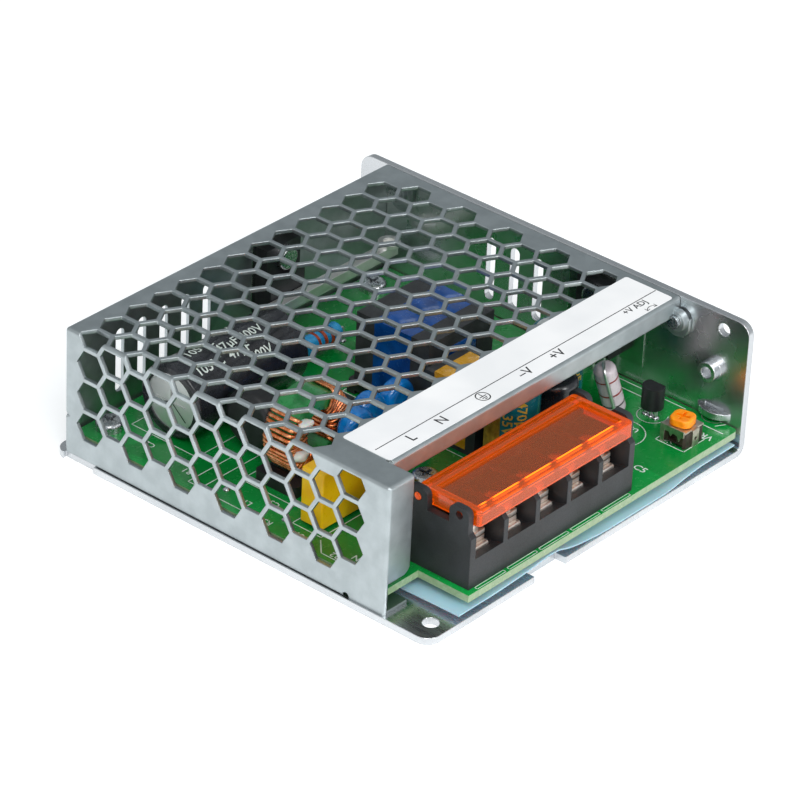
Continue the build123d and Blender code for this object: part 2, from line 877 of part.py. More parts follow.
choke_x = 22.5
choke_y = 51.5
choke_headroom = 2.8
choke_footroom = 1.0
choke_wall = 3.6
choke_width = 6.4
choke_tilt = -12.0
winding_build = 1.2
choke_ring = (cover_ceiling - board_top - choke_headroom - choke_footroom) / 2 - winding_build
choke_hole = choke_ring - choke_wall
choke_z = board_top + choke_footroom + winding_build + choke_ring
winding_gap = 0.1
winding_half_angle = 56.0
choke_base_gauge = 2.4


def ring(outer, inner, width):
    """A flat ring standing in the x and z plane around the choke's centre."""
    disc = along_y(choke_x, choke_y - width / 2, choke_z, outer, width)
    return disc - along_y(choke_x, choke_y - width, choke_z, inner, 2 * width)


def choke_core():
    return ring(choke_ring, choke_hole, choke_width)


def choke_windings():
    """Two windings on opposite sides of the ring."""
    outside = ring(choke_ring + winding_build, choke_hole - winding_build, choke_width + 2 * winding_build)
    space = ring(choke_ring + winding_gap, choke_hole - winding_gap, choke_width + 2 * winding_gap)
    shell = outside - space
    centre = Pos(choke_x, choke_y, choke_z)
    reach = 3 * choke_ring
    rise = reach * math.tan(math.radians(winding_half_angle))
    windings = []
    for side in (-1, 1):
        with BuildPart() as wedge:
            with BuildSketch(Plane.XZ.offset(-choke_y - reach / 2)):
                with BuildLine():
                    Polyline((choke_x, choke_z), (choke_x + side * reach, choke_z + rise),
                             (choke_x + side * reach, choke_z - rise), close=True)
                make_face()
            extrude(amount=reach)
        windings.append(centre * Rot(0, choke_tilt, 0) * centre.inverse() * (shell & wedge.part))
    return windings


def choke_base():
    bottom = choke_z - choke_ring - winding_build
    width = 2 * choke_ring + 1
    depth = choke_width + 2 * winding_build + 2
    base = slab(choke_x - width / 2, choke_y - depth / 2, board_top, width, depth, choke_base_gauge)
    cradle = along_y(choke_x, choke_y - depth, choke_z, choke_z - bottom + winding_gap, 2 * depth)
    return fillet(base.edges().filter_by(Axis.Z), 1.0) - cradle


x_cap_left = 8.3
x_cap_front = 34.5
x_cap_width = 18.0
x_cap_depth = 5.6
x_cap_height = 12.4
x_cap_wall = 0.8
x_cap_recess = 1.2


def x_capacitor():
    body = slab(x_cap_left, x_cap_front, board_top + 0.5, x_cap_width, x_cap_depth, x_cap_height)
    recess = slab(x_cap_left + x_cap_wall, x_cap_front + x_cap_wall, board_top,
                  x_cap_width - 2 * x_cap_wall, x_cap_depth - 2 * x_cap_wall, x_cap_recess)
    return fillet(body.edges(), 0.4) - recess


disc_radius = 4.1
disc_width = 4.0
disc_places = [(47.5, 50.0, 13.2), (38.9, 50.0, 13.7), (29.3, 44.8, 16.5)]


def y_capacitors():
    discs = []
    for x, y, z in disc_places:
        disc = along_y(x, y - disc_width / 2, z, disc_radius, disc_width)
        discs.append(fillet(disc.edges().filter_by(GeomType.CIRCLE), 1.5))
    return discs


transformer_left = 52.2
transformer_front = 46.0
transformer_width = 20.0
transformer_depth = 19.0
bobbin_rise = 1.0
bobbin_gauge = 2.0
bobbin_margin = 1.0
bobbin_rail = 2.0
core_height = 15.6
core_tape_width = 9.6
window_side = 5.0
window_rise = 3.0
core_bottom = board_top + bobbin_rise + bobbin_gauge


def transformer_band(reach):
    y = transformer_front + (transformer_depth - core_tape_width) / 2
    outer = slab(transformer_left - 1, y, core_bottom, transformer_width + 2, core_tape_width,
                 core_height + reach)
    inner = slab(transformer_left + tape_gauge, y - 1, core_bottom - 1, transformer_width - 2 * tape_gauge,
                 core_tape_width + 2, core_height + 1 - tape_gauge)
    return outer - inner


def transformer_block():
    return slab(transformer_left, transformer_front, core_bottom, transformer_width, transformer_depth,
                core_height)


def transformer_core():
    body = transformer_block()
    window_depth = core_tape_width / 2
    for y in (transformer_front - 1, transformer_front + transformer_depth - window_depth + 1):
        body = body - slab(transformer_left + window_side, y, core_bottom + window_rise,
                           transformer_width - 2 * window_side, window_depth, core_height - 2 * window_rise)
    return body - transformer_band(3.0)


def transformer_tape():
    return transformer_band(0.0) & transformer_block()


def transformer_winding():
    """The end turns of the coil that show in the two windows of the core."""
    coils = []
    window_depth = core_tape_width / 2 - 1
    inset = 0.15
    for y in (transformer_front, transformer_front + transformer_depth - window_depth):
        coil = slab(transformer_left + window_side + inset, y + inset, core_bottom + window_rise + inset,
                    transformer_width - 2 * (window_side + inset), window_depth - 2 * inset,
                    core_height - 2 * (window_rise + inset))
        coils.append(fillet(coil.edges().filter_by(Axis.X), 0.8))
    return coils


def transformer_bobbin():
    left = transformer_left - bobbin_margin
    front = transformer_front - bobbin_margin
    width = transformer_width + 2 * bobbin_margin
    depth = transformer_depth + 2 * bobbin_margin
    plate = slab(left, front, board_top + bobbin_rise, width, depth, bobbin_gauge)
    plate = fillet(plate.edges().filter_by(Axis.Z), 0.8)
    rails = [slab(left, y, board_top, width, bobbin_rail, bobbin_rise)
             for y in (front, front + depth - bobbin_rail)]
    return joined([plate] + rails)


bridge_x = 37.6
bridge_y = 58.6
bridge_width = 8.5
flat_part_rise = 0.5
flat_part_depth = 6.4


def bridge_rectifier():
    body = slab(bridge_x, bridge_y, board_top + flat_part_rise, bridge_width, flat_part_depth, 3.3)
    return chamfer(body.edges().group_by(Axis.Z)[-1], 0.5)


opto_x = 64.4
opto_y = 37.6
opto_width = 4.6


def optocoupler():
    body = slab(opto_x, opto_y, board_top + flat_part_rise, opto_width, flat_part_depth, 3.5)
    return chamfer(body.edges().group_by(Axis.Z)[-1], 0.5)


snubber_x = 53.5
snubber_y = 79.7
snubber_radius = 2.1
snubber_length = 10.0
snubber_rise = 3.4
snubber_cap = 2.4
snubber_waist = 0.25
snubber_round = 0.6


def snubber_resistor():
    z = board_top + snubber_rise
    body = along_x(snubber_x, snubber_y, z, snubber_radius - snubber_waist, snubber_length)
    for x in (snubber_x, snubber_x + snubber_length - snubber_cap):
        body = body + along_x(x, snubber_y, z, snubber_radius, snubber_cap)
    return fillet(body.edges().filter_by(GeomType.CIRCLE).group_by(Axis.X)[0]
                  + body.edges().filter_by(GeomType.CIRCLE).group_by(Axis.X)[-1], snubber_round)


aux_x = 80.0
aux_y = 56.0
aux_radius = 2.5
aux_height = 11.0


def auxiliary_capacitor():
    can = upright(aux_x, aux_y, board_top, aux_radius, aux_height)
    return fillet(can.edges().group_by(Axis.Z)[-1], 0.4)


# Power devices clamped to the case walls

device_width = 10.2
device_gauge = 4.4
device_height = 15.6
device_headroom = 2.4
device_screw_radius = 1.4
device_hole_drop = 2.9
device_tab_height = 6.4
device_tab_step = 2.4
device_corner = 0.6
device_head_radius = 2.6
device_head_rise = 1.8
device_head_round = 0.6
wall_pad_front = 25.4
wall_pad_depth = 20.0
pad_margin = 1.0
pad_gauge = 0.25
rectifier_y = 36.0
switch_x = 59.6
device_rise = cover_ceiling - board_top - device_height - device_headroom
device_hole_z = board_top + device_rise + device_height - device_hole_drop


def device_body():
    """Fully moulded power device lying against a wall at y = 0, its middle at x = 0."""
    body = slab(-device_width / 2, -device_gauge, 0, device_width, device_gauge, device_height)
    step = slab(-device_width, -device_gauge - 1, device_height - device_tab_height, 2 * device_width,
                device_tab_step, device_height)
    hole = along_y(0, -2 * device_gauge, device_height - device_hole_drop,
                   device_screw_radius + screw_clearance, 4 * device_gauge)
    body = body - step - hole
    return chamfer(edges_at(body, Axis.X, y=-device_gauge, z=0), device_corner)


def output_rectifier():
    place = Pos(wall_inner - pad_gauge, rectifier_y, board_top + device_rise) * Rot(0, 0, -90)
    return place * device_body()


def power_switch():
    face = cover_rear - cover_gauge - pad_gauge
    return Pos(switch_x, face, board_top + device_rise) * device_body()


def insulating_pads():
    """Thin sheets between the power devices and the metal."""
    drill = device_screw_radius + screw_clearance
    z = board_top + device_rise - pad_margin
    wall_pad = slab(wall_inner - pad_gauge, wall_pad_front, z, pad_gauge, wall_pad_depth,
                    device_height + 2 * pad_margin)
    wall_pad = wall_pad - along_x(wall_inner - 2, rectifier_y, device_hole_z, drill, 4)
    face = cover_rear - cover_gauge - pad_gauge
    rear_pad = slab(switch_x - device_width / 2 - pad_margin, face, z, device_width + 2 * pad_margin,
                    pad_gauge, device_height + 2 * pad_margin)
    rear_pad = rear_pad - along_y(switch_x, face - 2, device_hole_z, drill, 4)
    return [wall_pad, rear_pad]


def device_screw(length):
    """Pan head screw along y, the underside of its head at y = 0."""
    shank = along_y(0, 0, 0, device_screw_radius, length)
    head = along_y(0, -device_head_rise, 0, device_head_radius, device_head_rise)
    head = fillet(edges_circle(head, -device_head_rise), device_head_round)
    return shank + head


def edges_circle(shape, y):
    return [edge for edge in shape.edges().filter_by(GeomType.CIRCLE) if abs(edge.center().Y - y) < 0.02]


def device_screws():
    seat = device_gauge - device_tab_step + 1
    wall_place = Pos(wall_inner - pad_gauge - seat, rectifier_y, device_hole_z) * Rot(0, 0, -90)
    rear_place = Pos(switch_x, cover_rear - cover_gauge - pad_gauge - seat, device_hole_z)
    return [wall_place * device_screw(seat + pad_gauge + chassis_gauge),
            rear_place * device_screw(seat + pad_gauge + cover_gauge)]


# Leads that carry the small parts above the board

def leg(x, y, top):
    return upright(x, y, board_top, lead_radius, top - board_top)


def component_leads():
    leads = []
    for offset in (-lead_pitch / 2, 0.0, lead_pitch / 2):
        leads.append(leg(reference_x - 0.3, reference_y + offset, board_top + reference_rise))
    leads.append(leg(load_x, load_y, board_top + load_rise + 0.4) - load_resistor())
    leads.append(load_return_lead())
    for x, y, z in disc_places:
        for offset in (-2.5, 2.5):
            drop = disc_radius - math.sqrt(disc_radius ** 2 - offset ** 2)
            top = z - disc_radius + drop + 0.4
            leads.append(leg(x + offset, y, top) - along_y(x, y - 3, z, disc_radius, 6))
    for offset in (-2.5, 2.5):
        y = thermistor_y + offset
        z = board_top + thermistor_rise + thermistor_radius
        top = z - math.sqrt(thermistor_radius ** 2 - offset ** 2) + 0.4
        leads.append(leg(thermistor_x + thermistor_width / 2, y, top)
                     - along_x(thermistor_x - 1, thermistor_y, z, thermistor_radius, 8))
    for x in (snubber_x - 2.0, snubber_x + snubber_length + 2.0):
        leads.append(snubber_lead(x))
    wall_lead_x = wall_inner - pad_gauge - device_gauge / 2
    rear_lead_y = cover_rear - cover_gauge - pad_gauge - device_gauge / 2
    for offset in (-lead_pitch, 0.0, lead_pitch):
        leads.append(leg(wall_lead_x, rectifier_y + offset, board_top + device_rise))
        leads.append(leg(switch_x + offset, rear_lead_y, board_top + device_rise))
    return leads


def load_return_lead():
    """Wire from the top of the standing resistor, bent over and down in front of it."""
    start = (load_resistor_place() * Pos(0, 0, load_length)).position
    crown = start.Z + return_crown
    foot_x = load_x - return_left
    foot_y = load_y - return_forward
    path = FilletPolyline((start.X, start.Y, start.Z), (start.X, start.Y, crown),
                          (start.X - return_left, start.Y - return_forward, crown - return_fall),
                          (foot_x, foot_y, board_top + return_foot), (foot_x, foot_y, board_top),
                          radius=lead_bend)
    wire = sweep(Plane(origin=start, z_dir=(0, 0, 1)) * Circle(lead_radius), path=path)
    return wire - load_resistor()


def snubber_lead(x):
    z = board_top + snubber_rise
    inner = snubber_x if x < snubber_x else snubber_x + snubber_length
    path = FilletPolyline((inner, snubber_y, z), (x, snubber_y, z), (x, snubber_y, board_top),
                          radius=lead_bend)
    start = Plane(origin=(inner, snubber_y, z), z_dir=(x - inner, 0, 0))
    return sweep(start * Circle(lead_radius), path=path)


# Write every piece

def write(name, shape):
    """Move a piece to the shared origin and write it under its name."""
    solids = shape if isinstance(shape, list) else [shape]
    loose = []
    for solid in solids:
        loose += solid.solids()
    origin = Location((-case_width / 2, -wall_length / 2, 0))
    moved = Compound(label=name, children=[solid.moved(origin) for solid in loose])
    export_step(moved, f"parts/{name}.step")


os.makedirs("parts", exist_ok=True)

pieces = {
    "base_chassis": base_chassis,
    "perforated_cover": cover,
    "cover_screws": cover_screws,
    "rating_label": rating_label,
    "insulation_film": insulation_film,
    "circuit_board": circuit_board,
    "board_standoffs": board_standoffs,
    "board_screws": board_screws,
    "terminal_block": terminal_block,
    "terminal_contacts": terminal_contacts,
    "terminal_lid": terminal_lid,
    "trimmer_base": trimmer_base,
    "trimmer_saddle": trimmer_saddle,
    "trimmer_rotor": trimmer_rotor,
    "voltage_reference": voltage_reference,
    "load_resistor": load_resistor,
    "output_capacitors": output_capacitors,
    "output_choke": output_choke,
    "output_inductor_core": output_inductor_core,
    "output_inductor_tape": output_inductor_tape,
    "bulk_capacitor_can": bulk_capacitor_can,
    "bulk_capacitor_sleeve": bulk_capacitor_sleeve,
    "inrush_thermistor": inrush_thermistor,
    "input_fuse": input_fuse,
    "choke_core": choke_core,
    "choke_windings": choke_windings,
    "choke_base": choke_base,
    "x_capacitor": x_capacitor,
    "y_capacitors": y_capacitors,
    "transformer_core": transformer_core,
    "transformer_winding": transformer_winding,
    "transformer_tape": transformer_tape,
    "transformer_bobbin": transformer_bobbin,
    "bridge_rectifier": bridge_rectifier,
    "optocoupler": optocoupler,
    "snubber_resistor": snubber_resistor,
    "auxiliary_capacitor": auxiliary_capacitor,
    "output_rectifier": output_rectifier,
    "power_switch": power_switch,
    "insulating_pads": insulating_pads,
    "device_screws": device_screws,
    "component_leads": component_leads,
}

for name, make in pieces.items():
    write(name, make())

for index in range(pole_count):
    write(f"terminal_clamp_{index + 1}", terminal_clamp(index))
    write(f"terminal_screw_{index + 1}", terminal_screw(index))
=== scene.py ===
import math

import bmesh
import bpy
from mathutils import Matrix, Vector


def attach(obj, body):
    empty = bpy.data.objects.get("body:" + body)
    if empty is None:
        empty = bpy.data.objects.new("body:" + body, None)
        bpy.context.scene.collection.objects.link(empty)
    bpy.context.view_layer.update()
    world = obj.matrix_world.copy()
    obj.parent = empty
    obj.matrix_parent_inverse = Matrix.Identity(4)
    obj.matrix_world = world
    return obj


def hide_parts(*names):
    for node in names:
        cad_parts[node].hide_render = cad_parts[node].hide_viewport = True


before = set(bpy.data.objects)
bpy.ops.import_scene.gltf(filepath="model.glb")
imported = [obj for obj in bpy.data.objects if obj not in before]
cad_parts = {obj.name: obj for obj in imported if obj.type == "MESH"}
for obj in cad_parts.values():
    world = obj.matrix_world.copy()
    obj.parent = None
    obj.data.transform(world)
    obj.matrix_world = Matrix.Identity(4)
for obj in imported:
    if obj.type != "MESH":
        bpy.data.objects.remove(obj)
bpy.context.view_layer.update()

scene = bpy.context.scene
scene.view_settings.view_transform = "Standard"


# Table, light and camera
# A pale matt table top under two soft lamps, from the front left and the front, in a bright room.
# The camera looks down on the front left corner of the case through a long lens.

case_width = 97.0
case_length = 102.0
half_width = case_width / 2
half_length = case_length / 2


def place(x, y, z):
    """A point measured in millimetres from the front left corner of the case, in the frame's metres."""
    return Vector((x - half_width, y - half_length, z)) / 1000


def linear(hex_code):
    """An sRGB hex colour as the linear colour that a shader wants."""
    colour = []
    for start in (1, 3, 5):
        value = int(hex_code[start:start + 2], 16) / 255
        colour.append(value / 12.92 if value <= 0.04045 else ((value + 0.055) / 1.055) ** 2.4)
    return (*colour, 1.0)


def add(tree, kind, sockets=None, **settings):
    """Add one node: settings are its properties, sockets its values or the links that come into it."""
    node = tree.nodes.new(kind)
    for name, value in settings.items():
        setattr(node, name, value)
    for name, value in (sockets or {}).items():
        if isinstance(value, bpy.types.NodeSocket):
            tree.links.new(value, node.inputs[name])
        else:
            node.inputs[name].default_value = value
    return node


room = bpy.data.worlds.new("studio_room")
room.use_nodes = True
tree = room.node_tree
tree.nodes.clear()
lamp_side = (-0.62, -0.62, 0.48)
direction = add(tree, "ShaderNodeTexCoord").outputs["Generated"]
towards_lamp = add(tree, "ShaderNodeVectorMath", {0: direction, 1: lamp_side}, operation="DOT_PRODUCT")
spread = add(tree, "ShaderNodeMapRange", {"Value": towards_lamp.outputs["Value"], "From Min": -0.55,
                                          "From Max": 0.75}, interpolation_type="SMOOTHSTEP")
room_tone = add(tree, "ShaderNodeMix", {"Factor": spread.outputs["Result"], "A": linear("#a9afb3"),
                                        "B": linear("#f2f5f7")}, data_type="RGBA")
seen = add(tree, "ShaderNodeLightPath").outputs["Is Camera Ray"]
room_light = add(tree, "ShaderNodeBackground", {"Color": room_tone.outputs["Result"], "Strength": 0.8})
backdrop = add(tree, "ShaderNodeBackground", {"Color": (1, 1, 1, 1), "Strength": 1.0})
both = add(tree, "ShaderNodeMixShader", {0: seen, 1: room_light.outputs[0], 2: backdrop.outputs[0]})
add(tree, "ShaderNodeOutputWorld", {"Surface": both.outputs[0]})
scene.world = room

table_half = 3.0
table = bpy.data.meshes.new("table")
table.from_pydata([(-table_half, -table_half, 0), (table_half, -table_half, 0),
                   (table_half, table_half, 0), (-table_half, table_half, 0)], [], [(0, 1, 2, 3)])
table_top = bpy.data.objects.new("table_top", table)
scene.collection.objects.link(table_top)
table_paint = bpy.data.materials.new("matt_white_table")
table_paint.use_nodes = True
tree = table_paint.node_tree
tree.nodes.clear()
matt = add(tree, "ShaderNodeBsdfDiffuse", {"Color": linear("#dfe1e2")})
glow = add(tree, "ShaderNodeEmission", {"Color": (1, 1, 1, 1), "Strength": 0.42})
lifted = add(tree, "ShaderNodeAddShader", {0: matt.outputs[0], 1: glow.outputs[0]})
rays = add(tree, "ShaderNodeLightPath").outputs
mirrored = add(tree, "ShaderNodeMath", {0: rays["Is Glossy Ray"], 1: rays["Is Transmission Ray"]},
               operation="MAXIMUM")
seen = add(tree, "ShaderNodeMath", {0: rays["Is Camera Ray"], 1: mirrored.outputs[0]}, operation="MAXIMUM")
surface = add(tree, "ShaderNodeMixShader", {0: seen.outputs[0], 1: matt.outputs[0], 2: lifted.outputs[0]})
add(tree, "ShaderNodeOutputMaterial", {"Surface": surface.outputs[0]})
table.materials.append(table_paint)

lamp_target = Vector((0, 0, 0.015))


def soft_lamp(name, position, size, power):
    """A square soft box that faces the middle of the case."""
    lamp = bpy.data.lights.new(name, "AREA")
    lamp.shape = "SQUARE"
    lamp.size = size
    lamp.energy = power
    holder = bpy.data.objects.new(name, lamp)
    holder.location = position
    aim = lamp_target - Vector(position)
    holder.rotation_euler = aim.to_track_quat("-Z", "Y").to_euler()
    scene.collection.objects.link(holder)


soft_lamp("key_lamp", (-0.55, -0.45, 0.80), 0.50, 5.0)
soft_lamp("front_lamp", (-0.05, -0.85, 0.42), 0.30, 3.2)

camera_turn = math.radians(-50.543)
camera_rise = math.radians(31.217)
camera_roll = math.radians(2.802)
camera_distance = 910.577
camera_target = Vector((48.5, 49.5, 15.0))
shift_left = 0.319
shift_down = 2.376
focus_in_pixels = 4604.326
photo_width = 800
sensor_width = 36
backwards = Vector((math.sin(camera_turn) * math.cos(camera_rise),
                    -math.cos(camera_turn) * math.cos(camera_rise), math.sin(camera_rise)))
level = Vector((math.cos(camera_turn), math.sin(camera_turn), 0))
upwards = backwards.cross(level)
to_right = math.cos(camera_roll) * level + math.sin(camera_roll) * upwards
to_top = math.cos(camera_roll) * upwards - math.sin(camera_roll) * level
lens = bpy.data.cameras.new("camera")
lens.lens = focus_in_pixels / photo_width * sensor_width
lens.sensor_width = sensor_width
camera = bpy.data.objects.new("camera", lens)
facing = Matrix((to_right, to_top, backwards)).transposed().to_4x4()
stand = camera_target + backwards * camera_distance - shift_left * to_right - shift_down * to_top
facing.translation = place(*stand)
camera.matrix_world = facing
scene.collection.objects.link(camera)
scene.camera = camera


# Case floor and right wall
# One sheet of 1.5 mm mill finish aluminium, blanked, pierced and folded once.
# Rolling leaves fine streaks along the sheet, and the slightly buckled face mirrors what stands by it.

def start_material(name, colour, roughness, metallic=0.0, **more):
    """A material with one Principled shader, its constant values set on the shader's own sockets."""
    material = bpy.data.materials.new(name)
    material.use_nodes = True
    material.node_tree.nodes.clear()
    values = {"Base Color": linear(colour), "Roughness": roughness, "Metallic": metallic}
    values.update({key.replace("_", " "): value for key, value in more.items()})
    shader = add(material.node_tree, "ShaderNodeBsdfPrincipled", values)
    add(material.node_tree, "ShaderNodeOutputMaterial", {"Surface": shader.outputs[0]})
    return material, material.node_tree, shader


def own_place(tree, size, stretch=(1.0, 1.0, 1.0)):
    """Object coordinates scaled so that one unit is a size in millimetres, drawn out along the axes."""
    coordinates = add(tree, "ShaderNodeTexCoord").outputs["Object"]
    scale = tuple(1000 / size / part for part in stretch)
    return add(tree, "ShaderNodeMapping", {"Vector": coordinates, "Scale": scale}).outputs["Vector"]


def grain(tree, shader, size, roughness, height, stretch=(1.0, 1.0, 1.0), edge=0.0):
    """Unevenness of a made surface: grains of a size in mm vary its roughness and its relief.

    An edge radius in mm softens the corners, which then catch the light as broken edges do.
    """
    noise = add(tree, "ShaderNodeTexNoise", {"Vector": own_place(tree, size, stretch), "Scale": 1.0,
                                             "Detail": 3.0, "Roughness": 0.6})
    spread = add(tree, "ShaderNodeMapRange", {"Value": noise.outputs["Fac"], "From Min": 0.3, "From Max": 0.7,
                                              "To Min": roughness[0], "To Max": roughness[1]})
    tree.links.new(spread.outputs["Result"], shader.inputs["Roughness"])
    relief = add(tree, "ShaderNodeBump", {"Height": noise.outputs["Fac"], "Distance": height / 1000,
                                          "Strength": 1.0})
    if edge:
        broken = add(tree, "ShaderNodeBevel", {"Radius": edge / 1000}, samples=6)
        tree.links.new(broken.outputs["Normal"], relief.inputs["Normal"])
    tree.links.new(relief.outputs["Normal"], shader.inputs["Normal"])


def mottle(tree, shader, size, dark, light, stretch=(1.0, 1.0, 1.0)):
    """Slow change between two near colours over patches of a size in mm."""
    noise = add(tree, "ShaderNodeTexNoise", {"Vector": own_place(tree, size, stretch), "Scale": 1.0,
                                             "Detail": 2.0})
    spread = add(tree, "ShaderNodeMapRange", {"Value": noise.outputs["Fac"], "From Min": 0.35,
                                              "From Max": 0.65})
    mix = add(tree, "ShaderNodeMix", {"Factor": spread.outputs["Result"], "A": linear(dark),
                                      "B": linear(light)}, data_type="RGBA")
    tree.links.new(mix.outputs["Result"], shader.inputs["Base Color"])


def dress(node, material):
    """Give a node of the frame its material."""
    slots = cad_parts[node].data.materials
    slots.clear()
    slots.append(material)


mill_aluminium, tree, shader = start_material("mill_aluminium", "#d4d6d8", 0.28, 1.0)
mottle(tree, shader, 14.0, "#cacdd0", "#dadcde", (1.0, 3.0, 3.0))
grain(tree, shader, 0.9, (0.23, 0.32), 0.0012, (1.0, 10.0, 10.0), edge=0.3)
buckles = add(tree, "ShaderNodeTexNoise", {"Vector": own_place(tree, 9.0), "Scale": 1.0, "Detail": 0.0})
uneven = add(tree, "ShaderNodeBump", {"Height": buckles.outputs["Fac"], "Distance": 0.00012, "Strength": 1.0,
                                      "Normal": shader.inputs["Normal"].links[0].from_socket})
tree.links.new(uneven.outputs["Normal"], shader.inputs["Normal"])
dress("base_chassis", mill_aluminium)


# Insulating film
# A sheet of pale blue polyester, 0.3 mm thick, cut out round the standoffs.
# It lies loose on the floor under the board, milky and faintly glossy, and its front edge curls; a faint
# painted glow lifts it in the board's shadow.

pale_film, tree, shader = start_material("pale_blue_polyester_film", "#b4d4e2", 0.32, Subsurface_Weight=0.25,
                                         Subsurface_Scale=0.002)
mottle(tree, shader, 22.0, "#9cc2d2", "#b4d6e3")
grain(tree, shader, 6.0, (0.26, 0.40), 0.02)
# Painted light: a faint pale blue glow stands in for light reaching the film under the board.
shader.inputs["Emission Color"].default_value = linear("#b4d4e2")
shader.inputs["Emission Strength"].default_value = 0.06
dress("insulation_film", pale_film)


def settle(name, mesh, material, smooth):
    """Make a mesh a piece of the case, in one material, its faces smoothed where that is asked for."""
    if smooth:
        for face in mesh.polygons:
            face.use_smooth = True
    mesh.materials.append(material)
    piece = bpy.data.objects.new(name, mesh)
    scene.collection.objects.link(piece)
    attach(piece, "case")
    return piece


def finish_piece(name, bm, material, smooth=False):
    """Turn drawing millimetres into the frame's metres and keep the result as a piece."""
    for vertex in bm.verts:
        vertex.co = place(*vertex.co)
    mesh = bpy.data.meshes.new(name)
    bm.to_mesh(mesh)
    bm.free()
    return settle(name, mesh, material, smooth)


film_step = 3
curl_depth = 20
shift_depth = 4
bm = bmesh.new()
bm.from_mesh(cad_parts["insulation_film"].data)
bmesh.ops.remove_doubles(bm, verts=bm.verts, dist=1e-7)
for vertex in bm.verts:
    vertex.co = vertex.co * 1000 + Vector((half_width, half_length, 0))
for axis, reach in (((1, 0, 0), case_width), ((0, 1, 0), case_length)):
    for cut in range(film_step, int(reach), film_step):
        bmesh.ops.bisect_plane(bm, geom=bm.verts[:] + bm.edges[:] + bm.faces[:],
                               plane_co=Vector(axis) * cut, plane_no=axis)
# Points along the front edge: x, how far it rises, and how far it shifts to the rear, in mm
front_edge = [(0, 0.75, 0), (20, 0.8, 0), (29, 1.2, 0), (36, 1.9, 0), (39, 1.75, 0), (43, 0.5, 0),
              (47, 0, 0), (52, -0.1, -0.5), (73, -0.1, -0.5), (79, 0.4, 0), (84, 0.75, 0.1), (97, 0.8, 0.1)]
for vertex in bm.verts:
    x, y, z = vertex.co
    start, end = next(pair for pair in zip(front_edge, front_edge[1:]) if pair[1][0] >= x)
    run = (x - start[0]) / (end[0] - start[0])
    rise = start[1] + (end[1] - start[1]) * run
    shift = start[2] + (end[2] - start[2]) * run
    vertex.co = (x, y + shift * max(0, 1 - y / shift_depth), z + rise * math.exp(-(y / curl_depth) ** 2))
wavy_film = finish_piece("wavy_film", bm, pale_film)
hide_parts("insulation_film")


# Circuit board
# Glass laminate, 1.6 mm thick, with green solder mask over copper and a sawn, pale green edge.
# Wide copper areas show through the mask a little lighter, with darker gaps between them.

board_top = 6.1
mask_gauge = 0.08
mask_green, tree, shader = start_material("green_solder_mask", "#0c8a3d", 0.22, Coat_Weight=0.4,
                                          Coat_Roughness=0.12)
grain(tree, shader, 1.4, (0.18, 0.30), 0.006)
areas = add(tree, "ShaderNodeTexVoronoi", {"Vector": own_place(tree, 11.0), "Scale": 1.0, "Randomness": 0.7},
            feature="F1", distance="CHEBYCHEV")
area_tone = add(tree, "ShaderNodeMapRange", {"Value": areas.outputs["Color"], "From Min": 0.35,
                                             "From Max": 0.65})
copper_tone = add(tree, "ShaderNodeMix", {"Factor": area_tone.outputs["Result"], "A": linear("#078434"),
                                          "B": linear("#0a9c42")}, data_type="RGBA")
clouds = add(tree, "ShaderNodeTexNoise", {"Vector": own_place(tree, 16.0), "Scale": 1.0, "Detail": 1.0})
mask_depth = add(tree, "ShaderNodeMapRange", {"Value": clouds.outputs["Fac"], "From Min": 0.3,
                                              "From Max": 0.7})
mask_tone = add(tree, "ShaderNodeMix", {"Factor": mask_depth.outputs["Result"], "A": linear("#077f32"),
                                        "B": copper_tone.outputs["Result"]}, data_type="RGBA")
height = add(tree, "ShaderNodeSeparateXYZ", {0: own_place(tree, 1.0)}).outputs["Z"]
above_core = add(tree, "ShaderNodeMath", {0: height, 1: board_top - mask_gauge}, operation="GREATER_THAN")
facing_way = add(tree, "ShaderNodeNewGeometry").outputs["Normal"]
upright = add(tree, "ShaderNodeSeparateXYZ", {0: facing_way}).outputs["Z"]
lying_flat = add(tree, "ShaderNodeMath", {0: upright}, operation="ABSOLUTE").outputs[0]
steep = add(tree, "ShaderNodeMath", {0: lying_flat, 1: 0.5}, operation="LESS_THAN")
sawn = add(tree, "ShaderNodeMath", {0: steep.outputs[0], 1: above_core.outputs[0]}, operation="SUBTRACT",
           use_clamp=True)
edge_noise = add(tree, "ShaderNodeTexNoise", {"Vector": own_place(tree, 1.2), "Scale": 1.0, "Detail": 3.0})
laminate_tone = add(tree, "ShaderNodeMix", {"Factor": edge_noise.outputs["Fac"], "A": linear("#71936a"),
                                            "B": linear("#a9bd96")}, data_type="RGBA")
board_tone = add(tree, "ShaderNodeMix", {"Factor": sawn.outputs[0], "A": mask_tone.outputs["Result"],
                                         "B": laminate_tone.outputs["Result"]}, data_type="RGBA")
tree.links.new(board_tone.outputs["Result"], shader.inputs["Base Color"])
dress("circuit_board", mask_green)


# Printing on the board
# White epoxy ink, screened on the mask: outlines of the parts, their numbers and the slots' frames.
# It lies a hair above the board, in lines 0.22 mm wide, and finer ones round the slots.

ink_lift = 0.03
line_width = 0.22
slot_line_width = 0.14
slot_corner_x = 14.6
slot_corner_y = 0.75
slot_width = 8.4
slot_depth = 0.72
pole_count = 5
pole_pitch = 9.5
left_capacitor = (53.4, 25.2)
right_capacitor = (73.6, 30.6)
letter_em = 1.4
stroke_growth = 0.018


def strip(bm, points, width, z):
    """A flat line of one width through points, facing up."""
    for start, end in zip(points, points[1:]):
        a = Vector(start)
        b = Vector(end)
        along = (b - a).normalized()
        side = Vector((-along.y, along.x)) * width / 2
        reach = along * width / 2
        corners = [a - reach - side, b + reach - side, b + reach + side, a - reach + side]
        bm.faces.new([bm.verts.new((p.x, p.y, z)) for p in corners])


